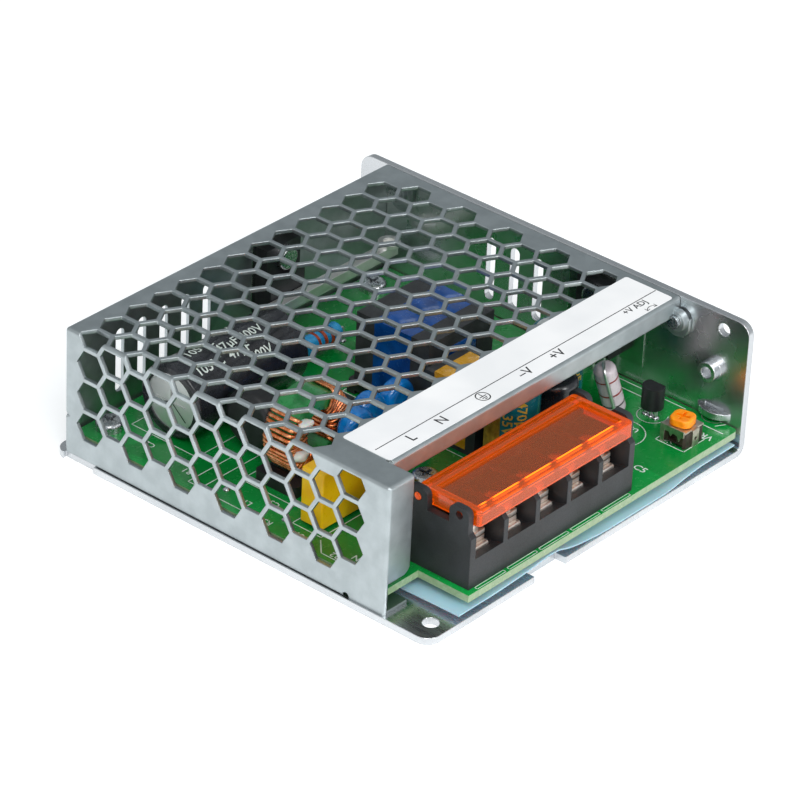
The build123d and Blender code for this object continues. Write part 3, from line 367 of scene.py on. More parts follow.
def arc(x, y, radius, start, end, steps=24):
    """Points on an arc, its angles in degrees."""
    turns = [math.radians(start + (end - start) * i / steps) for i in range(steps + 1)]
    return [(x + radius * math.cos(t), y + radius * math.sin(t)) for t in turns]


def frame_line(x, y, width, depth):
    """The corners of a rectangle, back to its first."""
    return [(x, y), (x + width, y), (x + width, y + depth), (x, y + depth), (x, y)]


def lettering(bm, words, height, x, y, z, turn=0.0):
    """Flat letters facing up, centred on a point and turned in degrees."""
    curve = bpy.data.curves.new("letters", "FONT")
    curve.body = words
    curve.size = height * letter_em
    curve.align_x = "CENTER"
    curve.align_y = "CENTER"
    curve.resolution_u = 2
    curve.offset = height * stroke_growth
    holder = bpy.data.objects.new("letters", curve)
    scene.collection.objects.link(holder)
    flat = bpy.data.meshes.new_from_object(holder.evaluated_get(bpy.context.evaluated_depsgraph_get()))
    bpy.data.objects.remove(holder)
    flat.transform(Matrix.Translation((x, y, z)) @ Matrix.Rotation(math.radians(turn), 4, "Z"))
    bm.from_mesh(flat)
    bpy.data.meshes.remove(flat)


white_ink, tree, shader = start_material("white_epoxy_ink", "#dfe9e2", 0.5)
mottle(tree, shader, 2.0, "#cfdcd4", "#e8f0ea")
grain(tree, shader, 0.6, (0.45, 0.6), 0.006)

ink_z = board_top + ink_lift
bm = bmesh.new()
outlines = [
    frame_line(80.8, 3.1, 6.8, 7.1), arc(77.5, 16.8, 5.3, 0, 360, 40), arc(87.6, 16.3, 3.2, 60, 300),
    [(94.1, 30.5), (94.1, 13.0)], [(91.6, 28.0), (91.6, 22.2)], [(91.6, 27.4), (90.3, 26.6)],
    arc(96.0, 7.0, 2.6, 112, 248), arc(96.0, 7.0, 1.6, 128, 232), [(91.8, 7.0), (91.8, 1.8)],
    [(93.1, 4.6), (95.0, 3.5)], arc(84.4, 6.9, 3.1, 165, 260), [(81.5, 8.6), (82.3, 7.6), (81.7, 6.9)],
    [(74.2, 14.2), (73.6, 13.0)], [(76.6, 21.9), (77.4, 23.0)], arc(*left_capacitor, 6.0, 0, 360, 40),
    arc(*right_capacitor, 5.8, 0, 360, 40), arc(65.4, 24.3, 5.3, 0, 360, 40),
    frame_line(7.2, 33.6, 20.0, 7.4), frame_line(15.6, 19.2, 10.0, 5.8), frame_line(11.8, 44.5, 21.6, 14.0),
    frame_line(11.6, 70.2, 35.4, 17.6), frame_line(4.0, 62.0, 22.5, 3.4),
    frame_line(50.6, 44.4, 23.2, 22.2), frame_line(48.4, 30.4, 14.0, 15.0),
    [(3.2, 14.4), (3.2, 30.0)], [(3.2, 30.0), (6.4, 33.0)], [(3.6, 46.0), (3.6, 60.0)]]
for outline in outlines:
    strip(bm, outline, line_width, ink_z)
for index in range(pole_count):
    slot_frame = frame_line(slot_corner_x + index * pole_pitch, slot_corner_y, slot_width, slot_depth)
    strip(bm, slot_frame, slot_line_width, ink_z)
part_marks = [
    ("VR1", 1.7, 88.7, 4.0, 90), ("U2", 1.4, 80.6, 15.6, 90), ("C6", 1.4, 68.6, 35.8, 0),
    ("R9", 1.3, 78.4, 24.6, 0), ("C5", 1.8, 69.8, 5.4, -90), ("C1", 1.5, 4.9, 37.0, 90),
    ("R2", 1.5, 4.4, 27.4, 90), ("CN1", 1.7, 9.4, 21.6, 0), ("R3", 1.5, 4.0, 44.6, 90),
    ("JP1", 1.6, 4.2, 74.6, 90), ("C3", 1.5, 9.8, 48.0, 90), ("R4", 1.4, 8.6, 60.0, 90),
    ("L1", 1.5, 6.4, 52.0, 90), ("F1", 1.5, 13.6, 27.4, 90), ("R1", 1.5, 6.6, 68.0, 90),
    ("C2", 1.5, 8.6, 80.0, 90), ("C7", 1.4, 48.6, 19.2, 0), ("L2", 1.4, 46.6, 40.0, 90),
    ("N", 1.6, 6.6, 24.0, 90), ("L", 1.6, 6.6, 17.0, 90), ("D1", 1.4, 36.0, 67.5, 0),
    ("T1", 1.6, 77.4, 48.0, 0), ("C9", 1.3, 84.6, 58.0, 0)]
for words, height, x, y, turn in part_marks:
    lettering(bm, words, height, x, y, ink_z, turn)
finish_piece("board_printing", bm, white_ink)


# Solder joints
# Tin solder, drawn up round each lead and set bright and a little uneven.
# Each joint is the same little dome, set on the points where leads meet the board.

def named_inputs(tree, sizes):
    """Give a geometry tree one named input for each size and return its input node and identifiers."""
    tree.interface.new_socket("Geometry", in_out="INPUT", socket_type="NodeSocketGeometry")
    identifiers = {}
    for name, value in sizes.items():
        kind = "NodeSocketInt" if isinstance(value, int) else "NodeSocketFloat"
        identifiers[name] = tree.interface.new_socket(name, in_out="INPUT", socket_type=kind).identifier
    tree.interface.new_socket("Geometry", in_out="OUTPUT", socket_type="NodeSocketGeometry")
    return add(tree, "NodeGroupInput").outputs, identifiers


def grown(name, base, tree, sizes, identifiers, material):
    """Run a geometry tree on a mesh and keep the result as a plain piece."""
    seed = bpy.data.objects.new(name + "_seed", base)
    scene.collection.objects.link(seed)
    modifier = seed.modifiers.new("grow", "NODES")
    modifier.node_group = tree
    for size, value in sizes.items():
        modifier[identifiers[size]] = value
    made = bpy.data.meshes.new_from_object(seed.evaluated_get(bpy.context.evaluated_depsgraph_get()))
    bpy.data.objects.remove(seed)
    made.name = name
    made.materials.clear()
    return settle(name, made, material, smooth=True)


tin_solder, tree, shader = start_material("tin_solder", "#c9ccce", 0.22, 1.0)
grain(tree, shader, 0.8, (0.15, 0.32), 0.01)

joint_sizes = {"Pad radius": 0.0008, "Dome height": 0.0006}
solder_tree = bpy.data.node_groups.new("solder_joints", "GeometryNodeTree")
sizes, joint_names = named_inputs(solder_tree, joint_sizes)
dome = add(solder_tree, "GeometryNodeMeshUVSphere", {"Segments": 14, "Rings": 8, "Radius": 1.0})
dome_scale = add(solder_tree, "ShaderNodeCombineXYZ", {"X": sizes["Pad radius"], "Y": sizes["Pad radius"],
                                                       "Z": sizes["Dome height"]})
joints = add(solder_tree, "GeometryNodeInstanceOnPoints", {"Points": sizes["Geometry"],
                                                           "Instance": dome.outputs[0],
                                                           "Scale": dome_scale.outputs[0]})
whole = add(solder_tree, "GeometryNodeRealizeInstances", {0: joints.outputs[0]})
coated = add(solder_tree, "GeometryNodeSetMaterial", {"Geometry": whole.outputs[0], "Material": tin_solder})
add(solder_tree, "NodeGroupOutput", {0: coated.outputs[0]})
joint_places = [
    (82.6, 22.0), (80.1, 19.9), (87.0, 15.03), (87.0, 16.3), (87.0, 17.57), (45.0, 50.0), (50.0, 50.0),
    (36.4, 50.0), (41.4, 50.0), (26.8, 44.8), (31.8, 44.8), (21.1, 61.1), (21.1, 66.1), (51.5, 79.7),
    (65.5, 79.7), (7.0, 42.6), (7.0, 58.0), (30.8, 27.0), (33.0, 19.0), (43.0, 22.0), (44.6, 28.4),
    (78.4, 40.2), (82.0, 45.8), (86.8, 51.0), (77.0, 66.4), (82.8, 71.2), (70.0, 72.0), (47.2, 70.6)]
spots = bpy.data.meshes.new("joint_spots")
spots.from_pydata([place(x, y, board_top) for x, y in joint_places], [], [])
grown("solder_joints", spots, solder_tree, joint_sizes, joint_names, tin_solder)


# Standoffs and board screws
# Turned steel standoffs hold the board off the floor, each under a pan head machine screw.
# Like the case's screws they are zinc plated: bright, slightly blue, turned too finely to see marks.

zinc_plating, tree, shader = start_material("bright_zinc_plating", "#c6c9cb", 0.25, 1.0)
mottle(tree, shader, 2.5, "#b9bdc1", "#d2d4d4")
grain(tree, shader, 0.4, (0.18, 0.34), 0.004)
for node in ("board_standoffs", "board_screws", "cover_screws", "device_screws"):
    dress(node, zinc_plating)


# Terminal block
# Black glass filled polyester, moulded in one: five bays, a wire ledge and four drilled lugs.
# The eroded mould leaves it dull, so its flat faces turn grey in the light.

black_polyester, tree, shader = start_material("black_moulded_polyester", "#232527", 0.48)
mottle(tree, shader, 6.0, "#1e2022", "#292b2e")
grain(tree, shader, 0.35, (0.40, 0.56), 0.012, edge=0.2)
dress("terminal_block", black_polyester)


# Terminal plates, clamps and screws
# Brass strip and steel screws, all nickel plated: warm, bright and a little wavy from the press.
# Each clamp is folded from one strip and rises on its screw.

nickel_plating, tree, shader = start_material("nickel_plating", "#f0e8de", 0.4, 1.0)
mottle(tree, shader, 2.6, "#e6dccf", "#faf5ee")
grain(tree, shader, 1.5, (0.40, 0.54), 0.002, edge=0.3)
dress("terminal_contacts", nickel_plating)
for pole in range(1, pole_count + 1):
    dress(f"terminal_clamp_{pole}", nickel_plating)
    dress(f"terminal_screw_{pole}", nickel_plating)


# Terminal lid
# Clear orange polycarbonate, moulded as a shallow tray and clipped on pins in the rear lugs.
# Its rims carry a painted orange glow, the thin middle a fainter one, and a painted bright line runs along
# the front recess edge; the black bays seen through it darken the thin middle.

orange_polycarbonate, tree, shader = start_material("orange_polycarbonate", "#ff6214", 0.1, IOR=1.5,
                                                    Transmission_Weight=0.86, Specular_IOR_Level=0.35)
grain(tree, shader, 1.6, (0.06, 0.13), 0.003, edge=0.3)
lid_place = add(tree, "ShaderNodeSeparateXYZ", {0: own_place(tree, 1.0)}).outputs


def within(tree, value, low, high, blur):
    """How far a coordinate in mm lies inside a range: 1 well inside it, 0 outside, with a soft border."""
    middle = add(tree, "ShaderNodeMath", {0: value, 1: (low + high) / 2}, operation="SUBTRACT").outputs[0]
    away = add(tree, "ShaderNodeMath", {0: middle}, operation="ABSOLUTE").outputs[0]
    half = (high - low) / 2
    return add(tree, "ShaderNodeMapRange", {"Value": away, "From Min": half - blur, "From Max": half + blur,
                                            "To Min": 1.0, "To Max": 0.0}).outputs["Result"]


first_rib = 19.4
painted_line_glow = 1.5
lid_across = within(tree, lid_place["X"], 16.8 - half_width, 58.6 - half_width, 0.5)
lid_tray = within(tree, lid_place["Y"], 3.4 - half_length, 12.8 - half_length, 0.4)
lid_gutter = within(tree, lid_place["Y"], 14.25 - half_length, 15.45 - half_length, 0.25)
either = add(tree, "ShaderNodeMath", {0: lid_tray, 1: lid_gutter}, operation="MAXIMUM").outputs[0]
thin = add(tree, "ShaderNodeMath", {0: lid_across, 1: either}, operation="MULTIPLY").outputs[0]
clearness = add(tree, "ShaderNodeMapRange", {"Value": thin, "To Min": 0.84, "To Max": 0.90}).outputs["Result"]
tree.links.new(clearness, shader.inputs["Transmission Weight"])
lid_tone = add(tree, "ShaderNodeMix", {"Factor": thin, "A": linear("#ff7008"), "B": linear("#ff882a")},
               data_type="RGBA")
tree.links.new(lid_tone.outputs["Result"], shader.inputs["Base Color"])
# Painted highlight: a bright line along the front edge of the recess, broken at each rib, glows in place of
# light caught in the plastic.
rim_line = within(tree, lid_place["Y"], 2.72 - half_length, 3.14 - half_length, 0.08)
from_rib = add(tree, "ShaderNodeMath", {0: lid_place["X"], 1: first_rib - half_width},
               operation="SUBTRACT").outputs[0]
rib_distance = add(tree, "ShaderNodeMath", {0: from_rib, 1: pole_pitch / 2}, operation="PINGPONG").outputs[0]
open_bay = add(tree, "ShaderNodeMapRange", {"Value": rib_distance, "From Min": 0.7,
                                            "From Max": 1.3}).outputs["Result"]
broken_line = add(tree, "ShaderNodeMath", {0: rim_line, 1: open_bay}, operation="MULTIPLY").outputs[0]
painted_highlight_line = add(tree, "ShaderNodeMath", {0: broken_line, 1: lid_across}, operation="MULTIPLY").outputs[0]
# Painted glow: the rims glow a little, the thin middle less.
painted_rim_glow = add(tree, "ShaderNodeMapRange", {"Value": thin, "To Min": 0.09, "To Max": 0.02}).outputs["Result"]
painted_glow_strength = add(tree, "ShaderNodeMath", {0: painted_highlight_line, 1: painted_line_glow, 2: painted_rim_glow},
               operation="MULTIPLY_ADD").outputs[0]
tree.links.new(painted_glow_strength, shader.inputs["Emission Strength"])
shader.inputs["Emission Color"].default_value = linear("#ff8408")
dress("terminal_lid", orange_polycarbonate)


# Output trimmer
# A brown phenolic base, a sprung nickel saddle over it, and an orange nylon rotor with a cross slot.
# The rotor turns on its stem, and the saddle's stamped skirt hangs over the left side of the base.

phenolic_brown, tree, shader = start_material("brown_phenolic", "#2a1f18", 0.45)
mottle(tree, shader, 1.5, "#211813", "#352820")
grain(tree, shader, 0.4, (0.38, 0.52), 0.008)
dress("trimmer_base", phenolic_brown)
dull_nickel, tree, shader = start_material("dull_nickel_sheet", "#c4bcae", 0.4, 1.0)
mottle(tree, shader, 1.4, "#b3aa9c", "#d3ccbf")
grain(tree, shader, 0.6, (0.34, 0.48), 0.006, edge=0.15)
dress("trimmer_saddle", dull_nickel)
orange_nylon, tree, shader = start_material("orange_nylon", "#ff9000", 0.35)
mottle(tree, shader, 1.4, "#f58300", "#ff9c08")
grain(tree, shader, 0.5, (0.3, 0.42), 0.01, edge=0.2)
dress("trimmer_rotor", orange_nylon)

skirt_x = 81.3
skirt_gauge = 0.3
skirt_gap = 0.02
skirt_line = [(3.55, 10.3), (3.55, 8.9), (4.3, 8.7), (4.7, 7.7), (5.2, 8.8), (6.3, 9.0), (6.8, 8.1),
              (7.3, 9.0), (8.4, 9.0), (8.4, 6.12), (9.3, 6.12), (9.45, 10.3)]
bm = bmesh.new()
outer = [bm.verts.new((skirt_x - skirt_gauge, y, z)) for y, z in skirt_line]
inner = [bm.verts.new((skirt_x - skirt_gap, y, z)) for y, z in skirt_line]
bm.faces.new(outer[::-1])
bm.faces.new(inner)
for index in range(len(skirt_line)):
    after = (index + 1) % len(skirt_line)
    bm.faces.new([outer[index], outer[after], inner[after], inner[index]])
bmesh.ops.recalc_face_normals(bm, faces=bm.faces)
finish_piece("trimmer_skirt", bm, dull_nickel)


# Small parts near the trimmer
# A three legged regulator in black epoxy and a standing film resistor in lilac grey lacquer.
# The resistor's colour bands are thin painted rings round its body, one black and two dark red.
# The black epoxy also dresses the devices further back, the fuse, the thermistor and the bobbin.

black_epoxy, tree, shader = start_material("black_moulded_epoxy", "#1b1c1e", 0.4)
mottle(tree, shader, 3.0, "#17181a", "#232527")
grain(tree, shader, 0.3, (0.34, 0.5), 0.01)
for node in ("voltage_reference", "output_rectifier", "power_switch", "bridge_rectifier", "optocoupler",
             "transformer_bobbin", "choke_base", "input_fuse", "inrush_thermistor"):
    dress(node, black_epoxy)


def turned(bm, profile, turn, sides=32):
    """A body of rotation: (radius, height) pairs spun about z, then moved by a matrix."""
    rings = []
    for radius, height in profile:
        if radius < 1e-6:
            rings.append([bm.verts.new((0, 0, height))])
            continue
        steps = [2 * math.pi * i / sides for i in range(sides)]
        rings.append([bm.verts.new((radius * math.cos(t), radius * math.sin(t), height)) for t in steps])
    for low, high in zip(rings, rings[1:]):
        for i in range(sides):
            j = (i + 1) % sides
            corners = [low[i % len(low)], low[j % len(low)], high[j % len(high)], high[i % len(high)]]
            distinct = list(dict.fromkeys(corners))
            if len(distinct) > 2:
                bm.faces.new(distinct)
    bmesh.ops.transform(bm, matrix=turn, verts=[v for ring in rings for v in ring])


def band(bm, inside, outside, low, high, turn, sides=32):
    """A square-edged ring between two radii and two heights."""
    turned(bm, [(inside, low), (outside, low), (outside, high), (inside, high), (inside, low)], turn, sides)


lilac_lacquer, tree, shader = start_material("lilac_grey_lacquer", "#c4bac0", 0.3, Coat_Weight=0.3)
mottle(tree, shader, 2.5, "#b9aeb5", "#cfc6cb")
grain(tree, shader, 0.8, (0.24, 0.38), 0.02)
dress("load_resistor", lilac_lacquer)
red_paint, tree, shader = start_material("dark_red_band_paint", "#7a1f1c", 0.35)
mottle(tree, shader, 1.0, "#6b1a18", "#8c2825")
black_paint, tree, shader = start_material("black_band_paint", "#1c1a1c", 0.35)
mottle(tree, shader, 1.0, "#151416", "#262325")

load_radius = 2.35
load_lift = 1.2
band_depth = 0.2
paint_gauge = 0.04
resistor_stand = (Matrix.Translation((82.6, 22.0, board_top + load_lift))
                  @ Matrix.Rotation(math.radians(-3.8), 4, "X") @ Matrix.Rotation(math.radians(-19), 4, "Y"))
for name, paint, low, high in (("load_band_lower", black_paint, 2.3, 2.65),
                               ("load_band_middle", red_paint, 5.2, 5.6),
                               ("load_band_upper", red_paint, 8.9, 9.25)):
    bm = bmesh.new()
    band(bm, load_radius - band_depth, load_radius + paint_gauge, low, high, resistor_stand)
    finish_piece(name, bm, paint)

tinned_copper, tree, shader = start_material("tinned_copper_wire", "#e6e7e7", 0.4, 1.0)
grain(tree, shader, 0.5, (0.34, 0.48), 0.005)
dress("component_leads", tinned_copper)


# Output capacitors and chokes
# Aluminium cans in teal shrink sleeve with gold print, their tops bare.
# The choke beside them stands in black sleeve, the square inductor has yellow tape round ferrite.

teal_sleeve, tree, shader = start_material("teal_shrink_sleeve", "#0d5f69", 0.22, Coat_Weight=0.2)
mottle(tree, shader, 5.0, "#0a5560", "#126d76")
grain(tree, shader, 2.0, (0.18, 0.3), 0.01)
dress("output_capacitors", teal_sleeve)
black_sleeve, tree, shader = start_material("black_shrink_sleeve", "#1d1f24", 0.25, Coat_Weight=0.2)
mottle(tree, shader, 5.0, "#18191d", "#26282e")
grain(tree, shader, 2.0, (0.2, 0.34), 0.01)
for node in ("output_choke", "bulk_capacitor_sleeve", "auxiliary_capacitor"):
    dress(node, black_sleeve)
ferrite_grey, tree, shader = start_material("sintered_ferrite", "#2e3032", 0.55)
mottle(tree, shader, 3.0, "#292b2d", "#37393b")
grain(tree, shader, 0.3, (0.45, 0.62), 0.01)
dress("output_inductor_core", ferrite_grey)
dress("transformer_core", ferrite_grey)
yellow_tape, tree, shader = start_material("yellow_polyester_tape", "#e3a50c", 0.25, Coat_Weight=0.3)
mottle(tree, shader, 4.0, "#d3970a", "#efb31a")
grain(tree, shader, 1.5, (0.2, 0.34), 0.02)
dress("output_inductor_tape", yellow_tape)

drawn_can, tree, shader = start_material("drawn_aluminium_can", "#ececec", 0.4, 1.0)
grain(tree, shader, 1.0, (0.34, 0.50), 0.006)
dress("bulk_capacitor_can", drawn_can)
sleeve_top = 26.0
top_profile = [(4.6, sleeve_top), (4.6, sleeve_top + 0.16), (4.3, sleeve_top + 0.2), (0.0, sleeve_top + 0.2)]
bm = bmesh.new()
for x, y in (left_capacitor, right_capacitor):
    turned(bm, top_profile, Matrix.Translation((x, y, 0)))
finish_piece("output_capacitor_tops", bm, drawn_can)

gold_ink, tree, shader = start_material("gold_sleeve_print", "#b8962a", 0.4)
mottle(tree, shader, 1.2, "#a58420", "#c6a53a")
grain(tree, shader, 0.5, (0.34, 0.48), 0.004)


def wrapped(bm, flat, radius, stand):
    """Bend flat print round an upright cylinder, cut narrow enough to follow it, and set it on its stand."""
    cut_width = 0.5
    low = min(vertex.co.x for vertex in flat.verts)
    high = max(vertex.co.x for vertex in flat.verts)
    for index in range(1, int((high - low) / cut_width)):
        bmesh.ops.bisect_plane(flat, geom=flat.verts[:] + flat.edges[:] + flat.faces[:],
                               plane_co=(low + index * cut_width, 0, 0), plane_no=(1, 0, 0))
    for vertex in flat.verts:
        angle = vertex.co.x / radius
        vertex.co = stand @ Vector((radius * math.cos(angle), radius * math.sin(angle), vertex.co.y))
    bent = bpy.data.meshes.new("bent")
    flat.to_mesh(bent)
    flat.free()
    bm.from_mesh(bent)
    bpy.data.meshes.remove(bent)


can_radius = 5.46
can_print_height = 2.1
panel_angle = 163
panel_width = 5.7
degree = math.radians(1) * can_radius
bm = bmesh.new()
for (x, y), facing_turn in ((left_capacitor, 0), (right_capacitor, 35)):
    flat = bmesh.new()
    for low, high in ((8.5, 16.2), (17.4, 24.6)):
        strip(flat, [(panel_angle * degree, low), (panel_angle * degree, high)], panel_width, 0)
    lettering(flat, "35V", can_print_height, 207 * degree, 18.0, 0, -90)
    lettering(flat, "470µF", can_print_height, 237 * degree, 19.6, 0, -90)
    can_stand = Matrix.Translation((x, y, 0)) @ Matrix.Rotation(math.radians(facing_turn), 4, "Z")
    wrapped(bm, flat, can_radius, can_stand)
finish_piece("output_capacitor_print", bm, gold_ink)


# Mains side parts
# Bulk capacitor lying down in a printed black sleeve, common mode choke, and yellow and blue capacitors.
# The choke is a ring of green coated ferrite with two windings of bright enamelled copper.
# Dabs of white silicone hold its windings.

green_epoxy, tree, shader = start_material("green_core_epoxy", "#1f7a3c", 0.3, Coat_Weight=0.3)
mottle(tree, shader, 3.0, "#196b33", "#278a47")
grain(tree, shader, 1.0, (0.24, 0.4), 0.03)
dress("choke_core", green_epoxy)

copper_wire, tree, shader = start_material("enamelled_copper_wire", "#f09562", 0.26, 1.0)
mottle(tree, shader, 1.5, "#e4824e", "#fbae80")
grain(tree, shader, 0.6, (0.22, 0.34), 0.004)

choke_centre = (22.5, 51.5, 16.7)
odd_turn_inset = -0.00035
odd_turn_widening = 0.16
turn_corner = 0.0013
turn_lean = math.radians(3)
choke_lean = math.radians(-12)
upright_turn = math.radians(90)
half_span = math.radians(52)
turn_sizes = {"Turns": 15, "Wire radius": 0.00042, "Ring radius": 0.0066, "Turn height": 0.0074,
              "Turn reach": 0.0046, "First angle": 0.0, "Angle step": 0.0}
coil_tree = bpy.data.node_groups.new("choke_coil", "GeometryNodeTree")
sizes, coil_names = named_inputs(coil_tree, turn_sizes)
row = add(coil_tree, "GeometryNodeMeshLine", {"Count": sizes["Turns"], "Offset": (0, 0, 0)})
turn_index = add(coil_tree, "GeometryNodeInputIndex").outputs[0]
swing = add(coil_tree, "ShaderNodeMath", {0: turn_index, 1: sizes["Angle step"], 2: sizes["First angle"]},
            operation="MULTIPLY_ADD").outputs[0]
odd = add(coil_tree, "ShaderNodeMath", {0: turn_index, 1: 2.0}, operation="MODULO").outputs[0]
swing_x = add(coil_tree, "ShaderNodeMath", {0: swing}, operation="COSINE").outputs[0]
swing_y = add(coil_tree, "ShaderNodeMath", {0: swing}, operation="SINE").outputs[0]
inset = add(coil_tree, "ShaderNodeMath", {0: odd, 1: odd_turn_inset, 2: sizes["Ring radius"]},
            operation="MULTIPLY_ADD").outputs[0]
seat_x = add(coil_tree, "ShaderNodeMath", {0: swing_x, 1: inset}, operation="MULTIPLY").outputs[0]
seat_y = add(coil_tree, "ShaderNodeMath", {0: swing_y, 1: inset}, operation="MULTIPLY").outputs[0]
seat = add(coil_tree, "ShaderNodeCombineXYZ", {"X": seat_x, "Y": seat_y}).outputs[0]
seats = add(coil_tree, "GeometryNodeSetPosition", {"Geometry": row.outputs[0], "Position": seat})
loop = add(coil_tree, "GeometryNodeCurvePrimitiveQuadrilateral", {"Width": sizes["Turn reach"],
                                                                  "Height": sizes["Turn height"]})
rounded = add(coil_tree, "GeometryNodeFilletCurve", {"Curve": loop.outputs[0], "Radius": turn_corner,
                                                     "Count": 4}, mode="POLY")
thread = add(coil_tree, "GeometryNodeCurvePrimitiveCircle", {"Resolution": 8, "Radius": sizes["Wire radius"]})
wire = add(coil_tree, "GeometryNodeCurveToMesh", {"Curve": rounded.outputs[0],
                                                  "Profile Curve": thread.outputs[0]})
stood = add(coil_tree, "GeometryNodeTransform", {"Geometry": wire.outputs[0],
                                                 "Rotation": (upright_turn, 0, turn_lean)})
wide = add(coil_tree, "ShaderNodeMath", {0: odd, 1: odd_turn_widening, 2: 1.0},
           operation="MULTIPLY_ADD").outputs[0]
stretch = add(coil_tree, "ShaderNodeCombineXYZ", {"X": wide, "Y": 1.0, "Z": 1.0}).outputs[0]
turn_angle = add(coil_tree, "ShaderNodeCombineXYZ", {"Z": swing}).outputs[0]
turns = add(coil_tree, "GeometryNodeInstanceOnPoints", {"Points": seats.outputs[0],
                                                        "Instance": stood.outputs[0],
                                                        "Rotation": turn_angle, "Scale": stretch})
whole = add(coil_tree, "GeometryNodeRealizeInstances", {0: turns.outputs[0]})
lacquered = add(coil_tree, "GeometryNodeSetMaterial", {"Geometry": whole.outputs[0], "Material": copper_wire})
set_up = add(coil_tree, "GeometryNodeTransform", {"Geometry": lacquered.outputs[0],
                                                  "Rotation": (upright_turn, choke_lean, 0),
                                                  "Translation": place(*choke_centre)})
add(coil_tree, "NodeGroupOutput", {0: set_up.outputs[0]})
turn_sizes["Angle step"] = 2 * half_span / (turn_sizes["Turns"] - 1)
for name, middle in (("choke_turns_left", math.pi), ("choke_turns_right", 0.0)):
    turn_sizes["First angle"] = middle - half_span
    empty = bpy.data.meshes.new(name + "_start")
    coil = grown(name, empty, coil_tree, turn_sizes, coil_names, copper_wire)
    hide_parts("choke_windings")

yellow_box, tree, shader = start_material("yellow_capacitor_box", "#ffc400", 0.3, Subsurface_Weight=0.1,
                                          Subsurface_Scale=0.001)
mottle(tree, shader, 5.0, "#f7ba00", "#ffd010")
grain(tree, shader, 0.6, (0.26, 0.4), 0.01)
dress("x_capacitor", yellow_box)
blue_dip, tree, shader = start_material("blue_epoxy_dip", "#0670c6", 0.1, Coat_Weight=0.6)
mottle(tree, shader, 2.5, "#0565b4", "#0a84d8")
grain(tree, shader, 1.4, (0.07, 0.14), 0.008)
dress("y_capacitors", blue_dip)

silicone_white, tree, shader = start_material("white_silicone_sealant", "#e6e6e0", 0.4, Subsurface_Weight=0.4,
                                              Subsurface_Scale=0.002)
grain(tree, shader, 1.5, (0.3, 0.5), 0.05)
bm = bmesh.new()
dabs = [(16.2, 47.2, 14.6, 1.7, 1.1), (17.3, 47.2, 21.2, 1.5, 0.9), (28.9, 47.6, 13.4, 1.4, 1.0)]
for x, y, z, size, height in dabs:
    blob = bmesh.ops.create_icosphere(bm, subdivisions=3, radius=1.0)["verts"]
    for vertex in blob:
        point = vertex.co
        lump = (1 + 0.14 * math.sin(3.1 * point.x + x)
                + 0.10 * math.sin(4.3 * point.y + 2.2 * point.z + z))
        vertex.co = Vector((point.x * size, point.y * size, point.z * height)) * lump + Vector((x, y, z))
finish_piece("silicone_dabs", bm, silicone_white, smooth=True)

bulk_axis_y = 79
bulk_axis_z = 14.3
sleeve_radius = 8.07
lying = Matrix.Translation((0, bulk_axis_y, bulk_axis_z)) @ Matrix(((0, 0, 1), (1, 0, 0), (0, 1, 0))).to_4x4()
bm = bmesh.new()
flat = bmesh.new()
degree = math.radians(1) * sleeve_radius
for angle, words, from_end in ((66, "47µF 400V", 27.0), (84, "105°C", 22.0), (102, "47µF 400V", 31.0),
                               (120, "105°C  47µF", 24.0), (138, "400V", 33.0)):
    lettering(flat, words, can_print_height, angle * degree, from_end, 0, 90)
wrapped(bm, flat, sleeve_radius, lying)
finish_piece("bulk_capacitor_print", bm, white_ink)

# The three scored vent lines on the can's end are flat dark grey strips: painted shade for the grooves.
can_end_x = 13.46
score_start = 0.5
score_end = 5.0
score_width = 0.26
end_face = (Matrix.Translation((can_end_x, bulk_axis_y, bulk_axis_z))
            @ Matrix(((0, 0, -1), (-1, 0, 0), (0, 1, 0))).to_4x4())
bm = bmesh.new()
for angle in (80, 200, 320):
    reach = Vector((math.cos(math.radians(angle)), math.sin(math.radians(angle))))
    strip(bm, [reach * score_start, reach * score_end], score_width, 0)
bmesh.ops.transform(bm, matrix=end_face, verts=bm.verts)
finish_piece("can_end_score_shade", bm, ferrite_grey)


# Transformer and its neighbours
# Ferrite halves on a black bobbin, held by blue polyester tape over the blue wrapped coil.
# Behind it lies a small blue film resistor with three brown bands.

blue_tape, tree, shader = start_material("blue_polyester_tape", "#06448c", 0.22, Coat_Weight=0.4)
mottle(tree, shader, 4.0, "#053b7c", "#0a50a0")
grain(tree, shader, 1.2, (0.16, 0.3), 0.03)
dress("transformer_tape", blue_tape)
dress("transformer_winding", blue_tape)
blue_lacquer, tree, shader = start_material("bright_blue_lacquer", "#1b93cf", 0.25, Coat_Weight=0.4)
mottle(tree, shader, 2.0, "#1686c0", "#28a2dc")
grain(tree, shader, 0.8, (0.2, 0.32), 0.01)
dress("snubber_resistor", blue_lacquer)
metal_pad, tree, shader = start_material("aluminised_polyester_pad", "#cfd8d2", 0.2, 1.0)
mottle(tree, shader, 4.0, "#c2ccc5", "#dbe2dc")
grain(tree, shader, 1.2, (0.16, 0.26), 0.002, edge=0.2)
dress("insulating_pads", metal_pad)

band_brown, tree, shader = start_material("brown_band_paint", "#a2401f", 0.35)
mottle(tree, shader, 1.0, "#8e3518", "#b54c28")
snubber_radius = 2.1
snubber_band_width = 0.7
snubber_stand = Matrix.Translation((53.5, 79.7, 9.5)) @ Matrix.Rotation(math.radians(90), 4, "Y")
bm = bmesh.new()
for low in (2.4, 4.4, 6.4):
    high = low + snubber_band_width
    band(bm, snubber_radius - band_depth, snubber_radius + paint_gauge, low, high, snubber_stand)
finish_piece("snubber_bands", bm, band_brown)


# Clamp bar
# A bar of bright aluminium lies along the rear, 0.2 mm off the power switch, with a ring at its end.
# It is sawn and filed by hand, so it stays paler and duller than the sheet round it.

